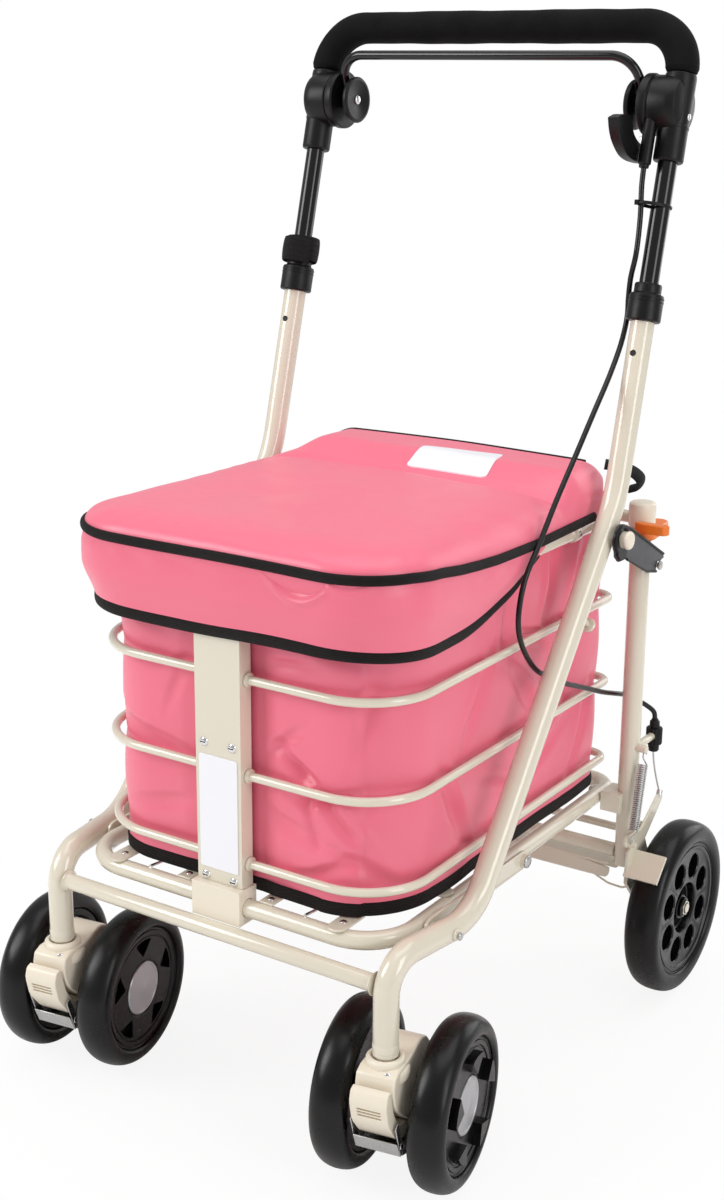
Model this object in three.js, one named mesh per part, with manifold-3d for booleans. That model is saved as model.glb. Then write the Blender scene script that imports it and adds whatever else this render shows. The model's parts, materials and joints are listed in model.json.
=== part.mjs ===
// Shopping rollator: tube frame on twin casters and braked rear wheels, with a folding
// basket of wire rings, a cloth bag under a padded seat lid and a telescopic U handle.
// Millimetres, +Z up. The front of the walker looks along -Y, +X is the brake cable side.
// Sizes are laid out from the line of the basket's fold; the part is moved at the end so that
// the origin lies on the floor under the middle of its box.
import * as THREE from 'three';
import { mergeVertices } from 'three/addons/utils/BufferGeometryUtils.js';
import Module from 'manifold-3d';

const wasm = await Module();
wasm.setup();

// General clearances and facet counts
const seatGap = 0.3;
const runGap = 0.5;
const weldMerge = 0.0001;
const cutOver = 2;
const tubeSides = 8;
const mainSides = 10;
const bendSteps = 4;
const wireBendSteps = 3;
const thinSides = 8;
const roundSides = 12;

// Frame sizes
const tubeRadius = 11;
const frameHalf = 196;
const stemToe = 17;
const stemHalf = frameHalf - stemToe;
const stemY = -230;
const stemFootZ = 137;
const railZ = 219;
const lowerBendY = -123.5;
const seatBendY = 121.9;
const seatBendZ = 536;
const uprightTopZ = 697;
const uprightLean = 0.2589;
const stemBendRadius = 30;
const lowerBendRadius = 60;
const seatBendRadius = 110;
const crossTubeRadius = 7.5;
const crossTubeZ = 197;
const boreDepth = 132;
const stemBoreRadius = 8;
const stemBoreDepth = 32;
const rivetRadius = 5;
const rivetRise = 2.5;
const rivetY = -158;
const studDown = 112;
const studRise = 21;
const studRadius = 3;
const studHeadRadius = 7;
const studHeadThickness = 3;

// Handle sizes
const innerTubeRadius = 9;
const innerFootZ = 632;
const gripTopZ = 958;
const gripCornerRadius = 42;
const foamRadius = 15.5;
const foamFootZ = 916;
const hingeZ = 888;
const hingeRadius = 27;
const hingeDiscRadius = 28;
const hingeOuterReach = 11;
const hingeDiscReach = 29;
const hingeBodyReach = 19;
const hingeOuterX = frameHalf + hingeOuterReach;
const hingeDiscX = frameHalf - hingeDiscReach;
const hingeBodyX = frameHalf - hingeBodyReach;
const sleeveRadius = 13.5;
const sleeveFootZ = 838;
const collarRadius = 16;
const collarHeight = 25;
const brakeBarRadius = 4.5;
const brakeBarRise = 43;
const brakeBarReach = -18;
const brakeBarBend = 26;
const brakeBossRadius = 9;
const brakeBossWidth = 8;

// Basket sizes
const ringRadius = 8;
const ringSideRoom = 31;
const ringHalf = frameHalf - ringSideRoom;
const ringZ = 218;
const ringFrontY = -214;
const ringRearY = 215;
const ringCorner = 48;
const ringRearCorner = 24;
const ringLap = 3;
const foldPivotY = 2;
const rearPivotY = 188;
const seatTubeRadius = 7;
const seatSideRoom = 30;
const seatTubeHalf = frameHalf - seatSideRoom;
const seatTubeZ = 507;
const seatTubeCorner = 36;
const wireRadius = 4;
const wireHalf = ringHalf;
const wireFrontY = -209;
const wireCorner = 38;
const wireHeights = { upper: 424, middle: 338, lower: 257 };
const wireInset = 4.5;
const bracketHalf = 24;
const bracketFrontY = -219;
const bracketRearY = -204;
const shoeHalf = 26;
const shoeFrontY = -226;
const shoeRearY = -202;
const shoeFootZ = 204;
const shoeTopZ = 236;
const bracketHeadDrop = 13;
const lidFootRise = 6.8;
const lidFootZ = seatTubeZ + lidFootRise;
const bracketHeadFootZ = seatTubeZ - bracketHeadDrop;
const bracketHeadTopZ = lidFootZ - seatGap;
const bracketHeadFrontY = -222.7;
const bracketHeadRearY = -203;
// Depth and height from the seat tube's centre: the head is cut back so that the seat turns on it
const headRearRelief = [[0, 0], [8.7, 0], [11.1, -4], [24, -4], [24, 23], [0, 23]];
const headFrontRelief = [[-8.8, 2.5], [-6, 6.6], [-6, 23], [-24, 23], [-24, 2.5]];

// Rear leg sizes
const postRadius = 10;
const postHalf = frameHalf;
const postY = 185;
const postFootZ = 148.3;
const postTopDrop = 7;
const postTopZ = seatTubeZ - postTopDrop;
const capRadius = 13;
const capHeight = 24;
const rearWheelReach = 34;
const rearWheelHalf = postHalf + rearWheelReach;
const rearWheelY = 240;
const rearWheelRadius = 89;
const rearTyreWidth = 36;
const channelFrontY = 178;
const channelRearY = 206;
const channelFootZ = 130;
const channelTopZ = 148;
const channelWall = 3;
const axlePlateReach = 4;
const axlePlateX = postHalf + axlePlateReach;
const channelHalf = axlePlateX - seatGap;
const rearTubeRadius = 7;
const rearTubeZ = 160;
const rearTubeY = 186;
const axleRadius = 5;
const plateThickness = 3;
const beamY = 200;
const beamZ = 178.6;
const beamRadius = 4;
const shoeDistance = 94.5;

// Front caster sizes
const frontWheelRadius = 75;
const frontTyreWidth = 34;
const casterTrail = 46;
const wheelSpread = 43.9;
const casterYaw = { left: 0.14, right: 0.175 };

// The middle of the part's depth in the sizes above
const originX = -3.3;
const originY = 29.95;

const X = new THREE.Vector3(1, 0, 0);
const Y = new THREE.Vector3(0, 1, 0);
const Z = new THREE.Vector3(0, 0, 1);

// The upright's and handle's common centre line above the seat bend
function leanY(z) {
  return seatBendY + uprightLean * (z - seatBendZ);
}

function vec(x, y, z) {
  return new THREE.Vector3(x, y, z);
}

// A route through given corners, each rounded to its own radius, sampled only in the bends
class Route extends THREE.Curve {
  constructor(samples) {
    super();
    this.samples = samples;
  }
  getPoint(t) {
    const last = this.samples.length - 1;
    const place = Math.min(Math.max(t, 0), 1) * last;
    const i = Math.min(Math.floor(place + weldMerge), last - 1);
    return this.samples[i].clone().lerp(this.samples[i + 1], Math.min(Math.max(place - i, 0), 1));
  }
  getPointAt(u) {
    return this.getPoint(u);
  }
  getSpacedPoints(divisions) {
    return Array.from({ length: divisions + 1 }, (_, i) => this.getPoint(i / divisions));
  }
  getTangentAt(u) {
    const last = this.samples.length - 1;
    const i = Math.round(u * last);
    const before = this.samples[Math.max(i - 1, 0)];
    const after = this.samples[Math.min(i + 1, last)];
    const here = this.samples[i];
    const into = here.clone().sub(before);
    const out = after.clone().sub(here);
    if (into.lengthSq() > 0) into.normalize();
    if (out.lengthSq() > 0) out.normalize();
    return into.add(out).normalize();
  }
  getTangent(t) {
    return this.getTangentAt(t);
  }
}

function rounded(corners, radii, stepsPerBend) {
  const samples = [corners[0].clone()];
  for (let i = 1; i < corners.length - 1; i += 1) {
    const a = corners[i - 1].clone().sub(corners[i]).normalize();
    const b = corners[i + 1].clone().sub(corners[i]).normalize();
    const half = a.angleTo(b) / 2;
    const reach = radii[i - 1] / Math.tan(half);
    const middle = a.clone().add(b).normalize();
    const centre = corners[i].clone().addScaledVector(middle, radii[i - 1] / Math.sin(half));
    const start = corners[i].clone().addScaledVector(a, reach).sub(centre);
    const end = corners[i].clone().addScaledVector(b, reach).sub(centre);
    const sweep = start.angleTo(end);
    const axis = start.clone().cross(end).normalize();
    for (let k = 0; k <= stepsPerBend; k += 1) {
      samples.push(start.clone().applyAxisAngle(axis, (sweep * k) / stepsPerBend).add(centre));
    }
  }
  samples.push(corners[corners.length - 1].clone());
  return samples;
}

function circlePoints(radius, sides) {
  return Array.from({ length: sides }, (_, i) => {
    const a = (2 * Math.PI * (i + 1 / 2)) / sides;
    return new THREE.Vector2(radius * Math.cos(a), radius * Math.sin(a));
  });
}

function tube(samples, radius, sides = tubeSides, bore = 0) {
  const shape = new THREE.Shape(circlePoints(radius, sides));
  if (bore > 0) shape.holes.push(new THREE.Path(circlePoints(bore, sides)));
  const steps = samples.length - 1;
  return new THREE.ExtrudeGeometry(shape, { steps, extrudePath: new Route(samples) });
}

function extrude(points, depth, basis, offset) {
  const shape = new THREE.Shape(points.map(([a, b]) => new THREE.Vector2(a, b)));
  const geometry = new THREE.ExtrudeGeometry(shape, { depth, bevelEnabled: false });
  geometry.applyMatrix4(basis);
  geometry.translate(offset.x, offset.y, offset.z);
  return geometry;
}

// Plates: outline in the named plane, thickness along the third axis
function plateYZ(points, xLow, xHigh) {
  const basis = new THREE.Matrix4().makeBasis(Y, Z, X);
  return extrude(points, xHigh - xLow, basis, vec(xLow, 0, 0));
}

function plateXY(points, zLow, zHigh) {
  return extrude(points, zHigh - zLow, new THREE.Matrix4(), vec(0, 0, zLow));
}

function box(xLow, xHigh, yLow, yHigh, zLow, zHigh) {
  const geometry = new THREE.BoxGeometry(xHigh - xLow, yHigh - yLow, zHigh - zLow);
  geometry.translate((xLow + xHigh) / 2, (yLow + yHigh) / 2, (zLow + zHigh) / 2);
  return geometry;
}

function rod(a, b, radius, sides = roundSides) {
  const along = b.clone().sub(a);
  const geometry = new THREE.CylinderGeometry(radius, radius, along.length(), sides);
  geometry.applyQuaternion(new THREE.Quaternion().setFromUnitVectors(Y, along.clone().normalize()));
  const middle = a.clone().add(b).multiplyScalar(1 / 2);
  geometry.translate(middle.x, middle.y, middle.z);
  return geometry;
}

function rodX(xLow, xHigh, y, z, radius, sides = roundSides) {
  return rod(vec(xLow, y, z), vec(xHigh, y, z), radius, sides);
}

// A turned body about the X axis: profile rows are [radius, x]
function turnedX(profile, segments, centre) {
  const points = profile.map(([r, h]) => new THREE.Vector2(r, h));
  const geometry = new THREE.LatheGeometry(points, segments);
  geometry.rotateZ(-Math.PI / 2);
  geometry.translate(centre.x, centre.y, centre.z);
  return geometry;
}

// A rounded outline: corner centres with one radius, wound anticlockwise
function roundedOutline(halfWidth, yLow, yHigh, radius, steps) {
  const centres = [
    [halfWidth - radius, yLow + radius, -Math.PI / 2],
    [halfWidth - radius, yHigh - radius, 0],
    [radius - halfWidth, yHigh - radius, Math.PI / 2],
    [radius - halfWidth, yLow + radius, Math.PI],
  ];
  return centres.flatMap(([cx, cy, start]) =>
    Array.from({ length: steps + 1 }, (_, k) => {
      const a = start + (Math.PI / 2) * (k / steps);
      return [cx + radius * Math.cos(a), cy + radius * Math.sin(a)];
    }),
  );
}

// A flat slot outline round two centres
function slotOutline(a, b, radiusA, radiusB, steps) {
  const along = Math.atan2(b[1] - a[1], b[0] - a[0]);
  const arc = (c, radius, start) =>
    Array.from({ length: steps + 1 }, (_, k) => {
      const angle = start + Math.PI * (k / steps);
      return [c[0] + radius * Math.cos(angle), c[1] + radius * Math.sin(angle)];
    });
  return [...arc(b, radiusB, along - Math.PI / 2), ...arc(a, radiusA, along + Math.PI / 2)];
}

function toSolid(geometry) {
  const bare = new THREE.BufferGeometry();
  bare.setAttribute('position', geometry.getAttribute('position').clone());
  if (geometry.index) bare.setIndex(geometry.index.clone());
  const merged = mergeVertices(bare, weldMerge);
  const vertProperties = new Float32Array(merged.getAttribute('position').array);
  const triVerts = new Uint32Array(merged.index.array);
  return new wasm.Manifold(new wasm.Mesh({ numProp: 3, vertProperties, triVerts }));
}

function toGeometry(solid) {
  const mesh = solid.getMesh();
  const geometry = new THREE.BufferGeometry();
  geometry.setAttribute('position', new THREE.BufferAttribute(new Float32Array(mesh.vertProperties), 3));
  geometry.setIndex(Array.from(mesh.triVerts));
  geometry.computeVertexNormals();
  return geometry;
}

function join(first, ...others) {
  return toGeometry(others.reduce((sum, g) => sum.add(toSolid(g)), toSolid(first)));
}

function cut(first, ...others) {
  return toGeometry(others.reduce((sum, g) => sum.subtract(toSolid(g)), toSolid(first)));
}

const paints = {
  beige: [0xe6decb, 0.3, 0.1],
  cream: [0xf0e0c4, 0.45, 0],
  black: [0x1a1a1a, 0.4, 0],
  foam: [0x151515, 0.9, 0],
  rubber: [0x181818, 0.7, 0],
  pink: [0xf77f93, 0.5, 0],
  binding: [0x2a2421, 0.9, 0],
  steel: [0xb8b8bc, 0.3, 1],
  darkGrey: [0x55545a, 0.5, 0.2],
  orange: [0xf07a1e, 0.4, 0],
};

const root = new THREE.Group();

function add(name, geometry, paint, parent = root) {
  const [color, roughness, metalness] = paints[paint];
  const material = new THREE.MeshStandardMaterial({ color, roughness, metalness });
  const mesh = new THREE.Mesh(geometry, material);
  mesh.name = name;
  parent.add(mesh);
  return mesh;
}

const sides = [
  ['left', -1],
  ['right', 1],
];

// Lowest and highest of two X places mirrored to one side
function spanX(side, a, b) {
  return [Math.min(side * a, side * b), Math.max(side * a, side * b)];
}

// Side tubes: caster stem, toed-in rail, leaning lower upright and straight bored top
function addMainFrame() {
  for (const [name, side] of sides) {
    const corners = [
      vec(side * stemHalf, stemY, stemFootZ),
      vec(side * stemHalf, stemY, railZ),
      vec(side * frameHalf, lowerBendY, railZ),
      vec(side * frameHalf, seatBendY, seatBendZ),
      vec(side * frameHalf, leanY(uprightTopZ), uprightTopZ),
    ];
    const radii = [stemBendRadius, lowerBendRadius, seatBendRadius];
    const body = tube(rounded(corners, radii, bendSteps), tubeRadius, mainSides);
    const boreFootZ = uprightTopZ - boreDepth;
    const bore = rod(
      vec(side * frameHalf, leanY(boreFootZ), boreFootZ),
      vec(side * frameHalf, leanY(uprightTopZ + cutOver), uprightTopZ + cutOver),
      innerTubeRadius + runGap,
    );
    const socket = rod(
      vec(side * stemHalf, stemY, stemFootZ - cutOver),
      vec(side * stemHalf, stemY, stemFootZ + stemBoreDepth),
      stemBoreRadius,
    );
    const railToe = (frameHalf - stemHalf) / (lowerBendY - stemY);
    const rivetX = stemHalf + (rivetY - stemY) * railToe + tubeRadius;
    const [a, b] = spanX(side, rivetX - tubeRadius, rivetX + rivetRise);
    const rivet = rodX(a, b, rivetY, railZ, rivetRadius, thinSides);
    const lean = vec(0, seatBendY - lowerBendY, seatBendZ - railZ).normalize();
    const across = vec(0, lean.z, -lean.y);
    const studFoot = vec(side * frameHalf, seatBendY, seatBendZ).addScaledVector(lean, -studDown);
    const studTip = studFoot.clone().addScaledVector(across, tubeRadius + studRise);
    const studNeck = studTip.clone().addScaledVector(across, -studHeadThickness);
    const stud = rod(studFoot, studTip, studRadius, thinSides);
    const studHead = rod(studNeck, studTip, studHeadRadius, 12);
    add(`side_tube_${name}`, join(cut(body, bore, socket), rivet, stud, studHead), 'beige');
  }
  const crossHalf = stemHalf - tubeRadius - seatGap;
  add('front_cross_tube', rodX(-crossHalf, crossHalf, stemY, crossTubeZ, crossTubeRadius, 12), 'beige');
}

// Flat bars inside the rails: they carry the basket ring on a bolt
const pivotBarGap = 1.5;
const pivotBarHeight = 18;
const pivotBoltRadius = 4;
const pivotBoltHeadRadius = 7;
const pivotBoltHeadRise = 4;
const pivotBoltReach = 12;
function addPivotBars() {
  const barX = ringHalf + ringRadius + pivotBarGap;
  for (const [name, side] of sides) {
    const [a, b] = spanX(side, barX, barX + plateThickness);
    const outline = slotOutline([rivetY, railZ], [foldPivotY, ringZ], pivotBarHeight / 2, pivotBarHeight / 2, 6);
    const bar = plateYZ(outline, a, b);
    const [c, d] = spanX(side, ringHalf - pivotBoltReach, barX + plateThickness);
    const bolt = rodX(c, d, foldPivotY, ringZ, pivotBoltRadius, thinSides);
    const [e, f] = spanX(side, barX + plateThickness - weldMerge, barX + plateThickness + pivotBoltHeadRise);
    const head = rodX(e, f, foldPivotY, ringZ, pivotBoltHeadRadius, 6);
    const railToe = (frameHalf - stemHalf) / (lowerBendY - stemY);
    const tubeFaceX = stemHalf + (rivetY - rivetRadius - stemY) * railToe - tubeRadius - seatGap;
    const [g, h] = spanX(side, barX + 1 / 2, tubeFaceX);
    const spacer = rodX(g, h, rivetY, railZ, rivetRadius, thinSides);
    add(`pivot_bar_${name}`, join(bar, bolt, head, spacer), 'beige');
  }
}

// Latch parts on the upright: a tab with a bolt and cream knob, and the lever turning on it
const latchY = 103;
const latchZ = seatTubeZ;
const latchPlateReach = 14.8;
const latchPlateX = frameHalf + latchPlateReach;
const latchPlateThickness = 2.5;
const latchBoltRadius = 4;
const latchWasherRadius = 7;
const knobRadius = 8.5;
const knobLength = 9;
const eyeRadius = 14;
const latchPinY = 190;
const latchPinDrop = 44;
const latchPinZ = latchZ - latchPinDrop;
const latchPinRadius = 2.6;
const latchPinOverrun = 2;
const latchLobe = [[-12, 2], [-9, -15], [-2, -21], [8, -21], [11, -12], [12, 2]];
const latchPlateOutline = [[8, 11], [20, 6], [97.5, -35], [99, -39], [93, -40], [90, -41], [87, -38],
  [82, -42], [82, -49], [60, -44], [25, -27], [14, -22], [10, -8]];
function addLatches() {
  for (const [name, side] of sides) {
    const faceX = frameHalf + tubeRadius + seatGap;
    const outerX = latchPlateX + latchPlateThickness + runGap;
    const [a, b] = spanX(side, faceX, latchPlateX - runGap);
    const [c, d] = spanX(side, faceX, outerX + knobLength);
    const [e, f] = spanX(side, outerX, outerX + knobLength);
    add(`latch_knob_${name}`, join(
      rodX(a, b, latchY, latchZ, latchWasherRadius, 12),
      rodX(c, d, latchY, latchZ, latchBoltRadius, 12),
      rodX(e, f, latchY, latchZ, knobRadius, 12)), 'cream');
    const [g, h] = spanX(side, latchPlateX, latchPlateX + latchPlateThickness);
    const place = ([y, z]) => [latchY + y, latchZ + z];
    const eye = slotOutline([latchY, latchZ], [latchY, latchZ], eyeRadius, eyeRadius, 8);
    const lever = join(plateYZ(eye, g, h), plateYZ(latchLobe.map(place), g, h),
      plateYZ(latchPlateOutline.map(place), g, h));
    const hole = rodX(g - cutOver, h + cutOver, latchY, latchZ, latchBoltRadius + runGap, 12);
    add(`latch_lever_${name}`, cut(lever, hole), 'darkGrey');
  }
}

// Upper tube, foam, hinge housings and the squeeze bar
const foamGap = 0.3;
const housingSleeveTopGap = 0.4;
const cableGuideRadius = 6;
const cableGuideFootZ = 836;
const cableGuideRoom = 16;
const cableGuideX = frameHalf - cableGuideRoom;
function addHandle() {
  const top = leanY(gripTopZ);
  const corners = [
    vec(-frameHalf, leanY(innerFootZ), innerFootZ), vec(-frameHalf, top, gripTopZ),
    vec(frameHalf, top, gripTopZ), vec(frameHalf, leanY(innerFootZ), innerFootZ),
  ];
  const radii = [gripCornerRadius, gripCornerRadius];
  add('handle_tube', tube(rounded(corners, radii, bendSteps), innerTubeRadius, mainSides), 'black');
  const foamCorners = corners.map((c, i) => (i === 0 || i === 3
    ? vec(c.x, leanY(foamFootZ), foamFootZ) : c));
  add('foam_grip', tube(rounded(foamCorners, radii, bendSteps), foamRadius, mainSides, innerTubeRadius + foamGap), 'foam');
  for (const [name, side] of sides) {
    const y = leanY(hingeZ);
    const [a, b] = spanX(side, hingeBodyX, hingeOuterX);
    const [c, d] = spanX(side, hingeDiscX, hingeBodyX + weldMerge);
    const sleeve = rod(
      vec(side * frameHalf, leanY(sleeveFootZ), sleeveFootZ),
      vec(side * frameHalf, leanY(foamFootZ), foamFootZ - housingSleeveTopGap), sleeveRadius, 12);
    const bore = rod(
      vec(side * frameHalf, leanY(sleeveFootZ - cutOver), sleeveFootZ - cutOver),
      vec(side * frameHalf, leanY(foamFootZ + cutOver), foamFootZ + cutOver),
      innerTubeRadius + seatGap, mainSides);
    const pieces = [rodX(a, b, y, hingeZ, hingeRadius, 18), rodX(c, d, y, hingeZ, hingeDiscRadius, 18)];
    if (side > 0) {
      const guideTop = hingeZ - cableGuideRadius;
      pieces.push(rod(
        vec(cableGuideX, leanY(guideTop) - foamRadius, guideTop),
        vec(cableGuideX, leanY(cableGuideFootZ) - foamRadius, cableGuideFootZ),
        cableGuideRadius, 10));
    }
    add(`hinge_housing_${name}`, cut(join(sleeve, ...pieces), bore), 'black');
    const collar = rod(
      vec(side * frameHalf, leanY(uprightTopZ + seatGap), uprightTopZ + seatGap),
      vec(side * frameHalf, leanY(uprightTopZ + collarHeight), uprightTopZ + collarHeight), collarRadius, 14);
    const collarBore = rod(
      vec(side * frameHalf, leanY(uprightTopZ - cutOver), uprightTopZ - cutOver),
      vec(side * frameHalf, leanY(uprightTopZ + collarHeight + cutOver), uprightTopZ + collarHeight + cutOver),
      innerTubeRadius + runGap, mainSides);
    const tubeSeat = rod(
      vec(side * frameHalf, leanY(uprightTopZ - collarRadius), uprightTopZ - collarRadius),
      vec(side * frameHalf, leanY(uprightTopZ + seatGap), uprightTopZ + seatGap), tubeRadius + seatGap, mainSides);
    add(`height_collar_${name}`, cut(collar, collarBore, tubeSeat), 'black');
  }
  const pivotY = leanY(hingeZ);
  const armX = hingeDiscX - seatGap - brakeBossWidth / 2;
  const barCorners = [
    vec(-armX, pivotY, hingeZ), vec(-armX, pivotY + brakeBarReach, hingeZ + brakeBarRise),
    vec(armX, pivotY + brakeBarReach, hingeZ + brakeBarRise), vec(armX, pivotY, hingeZ),
  ];
  const bar = tube(rounded(barCorners, [brakeBarBend, brakeBarBend], bendSteps), brakeBarRadius);
  const low = hingeDiscX - seatGap - brakeBossWidth;
  const high = hingeDiscX - seatGap;
  add('brake_bar', join(bar, rodX(low, high, pivotY, hingeZ, brakeBossRadius),
    rodX(-high, -low, pivotY, hingeZ, brakeBossRadius)), 'black');
}

// The parking lever: a hooked black blade on the right sleeve's inner side
const parkLeverRoom = 27;
const parkLeverX = frameHalf - parkLeverRoom;
const parkLeverThickness = 5;
const parkPivotZ = 846;
const parkBossRadius = 6;
const parkBladeShares = [[0, 6], [-30, 4], [-52, 16], [-62, 34], [-70, 31], [-60, 10], [-34, -7], [0, -6]];
function addParkLever() {
  const pivotY = leanY(parkPivotZ);
  const blade = parkBladeShares.map(([y, z]) => [pivotY + y, parkPivotZ + z]);
  const low = parkLeverX - parkLeverThickness / 2;
  const high = frameHalf - sleeveRadius - seatGap;
  add('park_lever', join(plateYZ(blade, low, low + parkLeverThickness),
    rodX(low, high, pivotY, parkPivotZ, parkBossRadius, 12)), 'black');
}

// Basket ring, wires, centre brackets and floor
const floorStripWidth = 14;
const floorStripThickness = 2;
const floorLongX = [-120, -45, 45, 120];
const floorCrossY = [-110, -20];
function addBasket() {
  const ringParts = sides.map(([, side]) => {
    const path = [
      vec(-side * ringLap, ringFrontY, ringZ), vec(side * ringHalf, ringFrontY, ringZ),
      vec(side * ringHalf, ringRearY, ringZ), vec(-side * ringLap, ringRearY, ringZ),
    ];
    return tube(rounded(path, [ringCorner, ringRearCorner], bendSteps), ringRadius, tubeSides);
  });
  const cuts = sides.flatMap(([, side]) => {
    const [a, b] = spanX(side, ringHalf - pivotBoltReach - cutOver, ringHalf + ringRadius + cutOver);
    return [
      rodX(a, b, foldPivotY, ringZ, pivotBoltRadius + runGap, thinSides),
      rodX(a, b, rearPivotY, ringZ, pivotBoltRadius + runGap, thinSides),
    ];
  });
  add('lower_ring', cut(join(...ringParts), ...cuts), 'beige');

  const floorZ = ringZ + ringRadius + seatGap;
  const strips = floorLongX.map((x) => box(x - floorStripWidth / 2, x + floorStripWidth / 2,
    ringFrontY, ringRearY, floorZ, floorZ + floorStripThickness));
  const crossHalf = ringHalf;
  const crosses = floorCrossY.map((y) => box(-crossHalf, crossHalf,
    y - floorStripWidth / 2, y + floorStripWidth / 2, floorZ, floorZ + floorStripThickness));
  add('basket_floor', join(...strips, ...crosses), 'beige');

  const rearY = wireFrontY + (rearPivotY - ringFrontY);
  for (const [name, z] of Object.entries(wireHeights)) {
    const w = wireHalf;
    const end = bracketHalf - wireInset;
    const path = [
      vec(end, wireFrontY, z), vec(w, wireFrontY, z), vec(w, rearY, z),
      vec(-w, rearY, z), vec(-w, wireFrontY, z), vec(-end, wireFrontY, z),
    ];
    const bends = [wireCorner, wireCorner, wireCorner, wireCorner];
    add(`wire_${name}`, tube(rounded(path, bends, wireBendSteps), wireRadius, thinSides), 'beige');
  }

  const channel = box(-bracketHalf, bracketHalf, bracketFrontY, bracketRearY, shoeTopZ - cutOver, bracketHeadTopZ);
  const shoe = box(-shoeHalf, shoeHalf, shoeFrontY, shoeRearY, shoeFootZ, shoeTopZ);
  const head = box(-shoeHalf, shoeHalf, bracketHeadFrontY, bracketHeadRearY, bracketHeadFootZ, bracketHeadTopZ);
  const wireHoles = Object.values(wireHeights).flatMap((z) => sides.map(([, side]) => {
    const [a, b] = spanX(side, bracketHalf - wireInset - runGap, shoeHalf + cutOver);
    return rodX(a, b, wireFrontY, z, wireRadius + runGap, 12);
  }));
  const over = shoeHalf + cutOver;
  const reliefs = [headRearRelief, headFrontRelief].map((outline) => plateYZ(
    outline.map(([y, z]) => [ringFrontY + y, seatTubeZ + z]), -over, over));
  add('front_bracket', cut(join(channel, head), ...wireHoles, ...reliefs,
    rodX(-over, over, ringFrontY, seatTubeZ, seatTubeRadius + runGap),
    box(-over, over, shoeFrontY - cutOver, shoeRearY + cutOver, shoeFootZ, shoeTopZ + seatGap)), 'beige');
  add('bracket_shoe', cut(shoe, rodX(-over, over, ringFrontY, ringZ, ringRadius + runGap)), 'cream');
}

// Flips a closed surface whose faces point inward
function outward(geometry) {
  const source = geometry.index ? geometry.toNonIndexed() : geometry;
  const position = source.getAttribute('position');
  let volume = 0;
  const [a, b, c] = [vec(0, 0, 0), vec(0, 0, 0), vec(0, 0, 0)];
  for (let i = 0; i < position.count; i += 3) {
    a.fromBufferAttribute(position, i);
    b.fromBufferAttribute(position, i + 1);
    c.fromBufferAttribute(position, i + 2);
    volume += a.dot(b.cross(c));
  }
  if (volume < 0) {
    for (let i = 0; i < position.count; i += 3) {
      a.fromBufferAttribute(position, i + 1);
      b.fromBufferAttribute(position, i + 2);
      position.setXYZ(i + 1, b.x, b.y, b.z);
      position.setXYZ(i + 2, a.x, a.y, a.z);
    }
  }
  return source;
}

// Seat frame: U tube under the lid with outward stubs at the post caps
const seatStubRadius = 6;
function addSeatFrame() {
  const h = seatTubeHalf;
  const path = [
    vec(h, rearPivotY, seatTubeZ), vec(h, ringFrontY, seatTubeZ),
    vec(-h, ringFrontY, seatTubeZ), vec(-h, rearPivotY, seatTubeZ),
  ];
  const frame = tube(rounded(path, [seatTubeCorner, seatTubeCorner], bendSteps), seatTubeRadius);
  const stubs = sides.map(([, side]) => {
    const [a, b] = spanX(side, h - seatTubeRadius / 2, postHalf - capRadius - seatGap);
    return rodX(a, b, rearPivotY, seatTubeZ, seatStubRadius, 12);
  });
  add('seat_frame', join(frame, ...stubs), 'beige');
}

// Cloth bag: rounded open box hanging inside the wire rings
const bagSideRoom = 39;
const bagHalf = frameHalf - bagSideRoom;
const bagFrontY = -199;
const bagRearY = 168;
const bagFootZ = 248;
const bagTopZ = seatTubeZ - lidFootRise;
const bagCorner = 40;
const bagWall = 3;
const bagFlangeFrontY = -155;
const bagFlangeRearY = 150;
function addBag() {
  const outer = plateXY(roundedOutline(bagHalf, bagFrontY, bagRearY, bagCorner, 4), bagFootZ, bagTopZ);
  const inner = plateXY(roundedOutline(bagHalf - bagWall, bagFrontY + bagWall, bagRearY - bagWall,
    bagCorner - bagWall, 4), bagFootZ + bagWall, bagTopZ + cutOver);
  const flanges = sides.map(([, side]) => {
    const [a, b] = spanX(side, bagHalf - bagWall, seatTubeHalf);
    return box(a, b, bagFlangeFrontY, bagFlangeRearY, bagTopZ - bagWall, bagTopZ);
  });
  add('bag', join(cut(outer, inner), ...flanges), 'pink');
}

// Lid: crowned cushion with a raised rear pad, and the skirt that hangs round its front
const lidSideRoom = 19;
const lidHalf = frameHalf - lidSideRoom;
const lidFrontY = -226.5;
const lidRearY = 158;
const lidEdgeRise = 15.2;
const lidEdgeZ = lidFootZ + lidEdgeRise;
const lidCrownRise = 35.7;
const lidCrownZ = lidFootZ + lidCrownRise;
const lidSideDrop = 12;
const lidDropStartY = -185;
const lidDropLength = 125;
const lidRoundReach = 62;
const lidRoundPower = 2.4;
const lidCorner = 46;
const padStartY = 62;
const padRise = 16.5;
const padSlopeLength = 42;
const sideDraw = 3;
const skirtInset = 0.5;
const skirtHalf = lidHalf - skirtInset;
const skirtWall = 1.8;
const skirtFrontY = lidFrontY + skirtInset;
const skirtRearY = 16;
const skirtFrontFootZ = 462;
const skirtRearFootZ = 506;
const skirtRiseY = -92;
const skirtTopZ = lidFootZ - seatGap;
const skirtFold = 1.6;
const cushionOutlineSteps = 5;
const cushionSideParts = 7;
const cushionShares = [0.93, 0.82, 0.66, 0.48, 0.28];
const skirtRuns = 8;
function smoothStep(t) {
  const ramp = Math.min(Math.max(t, 0), 1);
  return ramp * ramp * (3 - 2 * ramp);
}

// The seam is high in front and drawn down along the sides
function lidSeamZ(y) {
  return lidEdgeZ - lidSideDrop * smoothStep((y - lidDropStartY) / lidDropLength);
}

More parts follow.
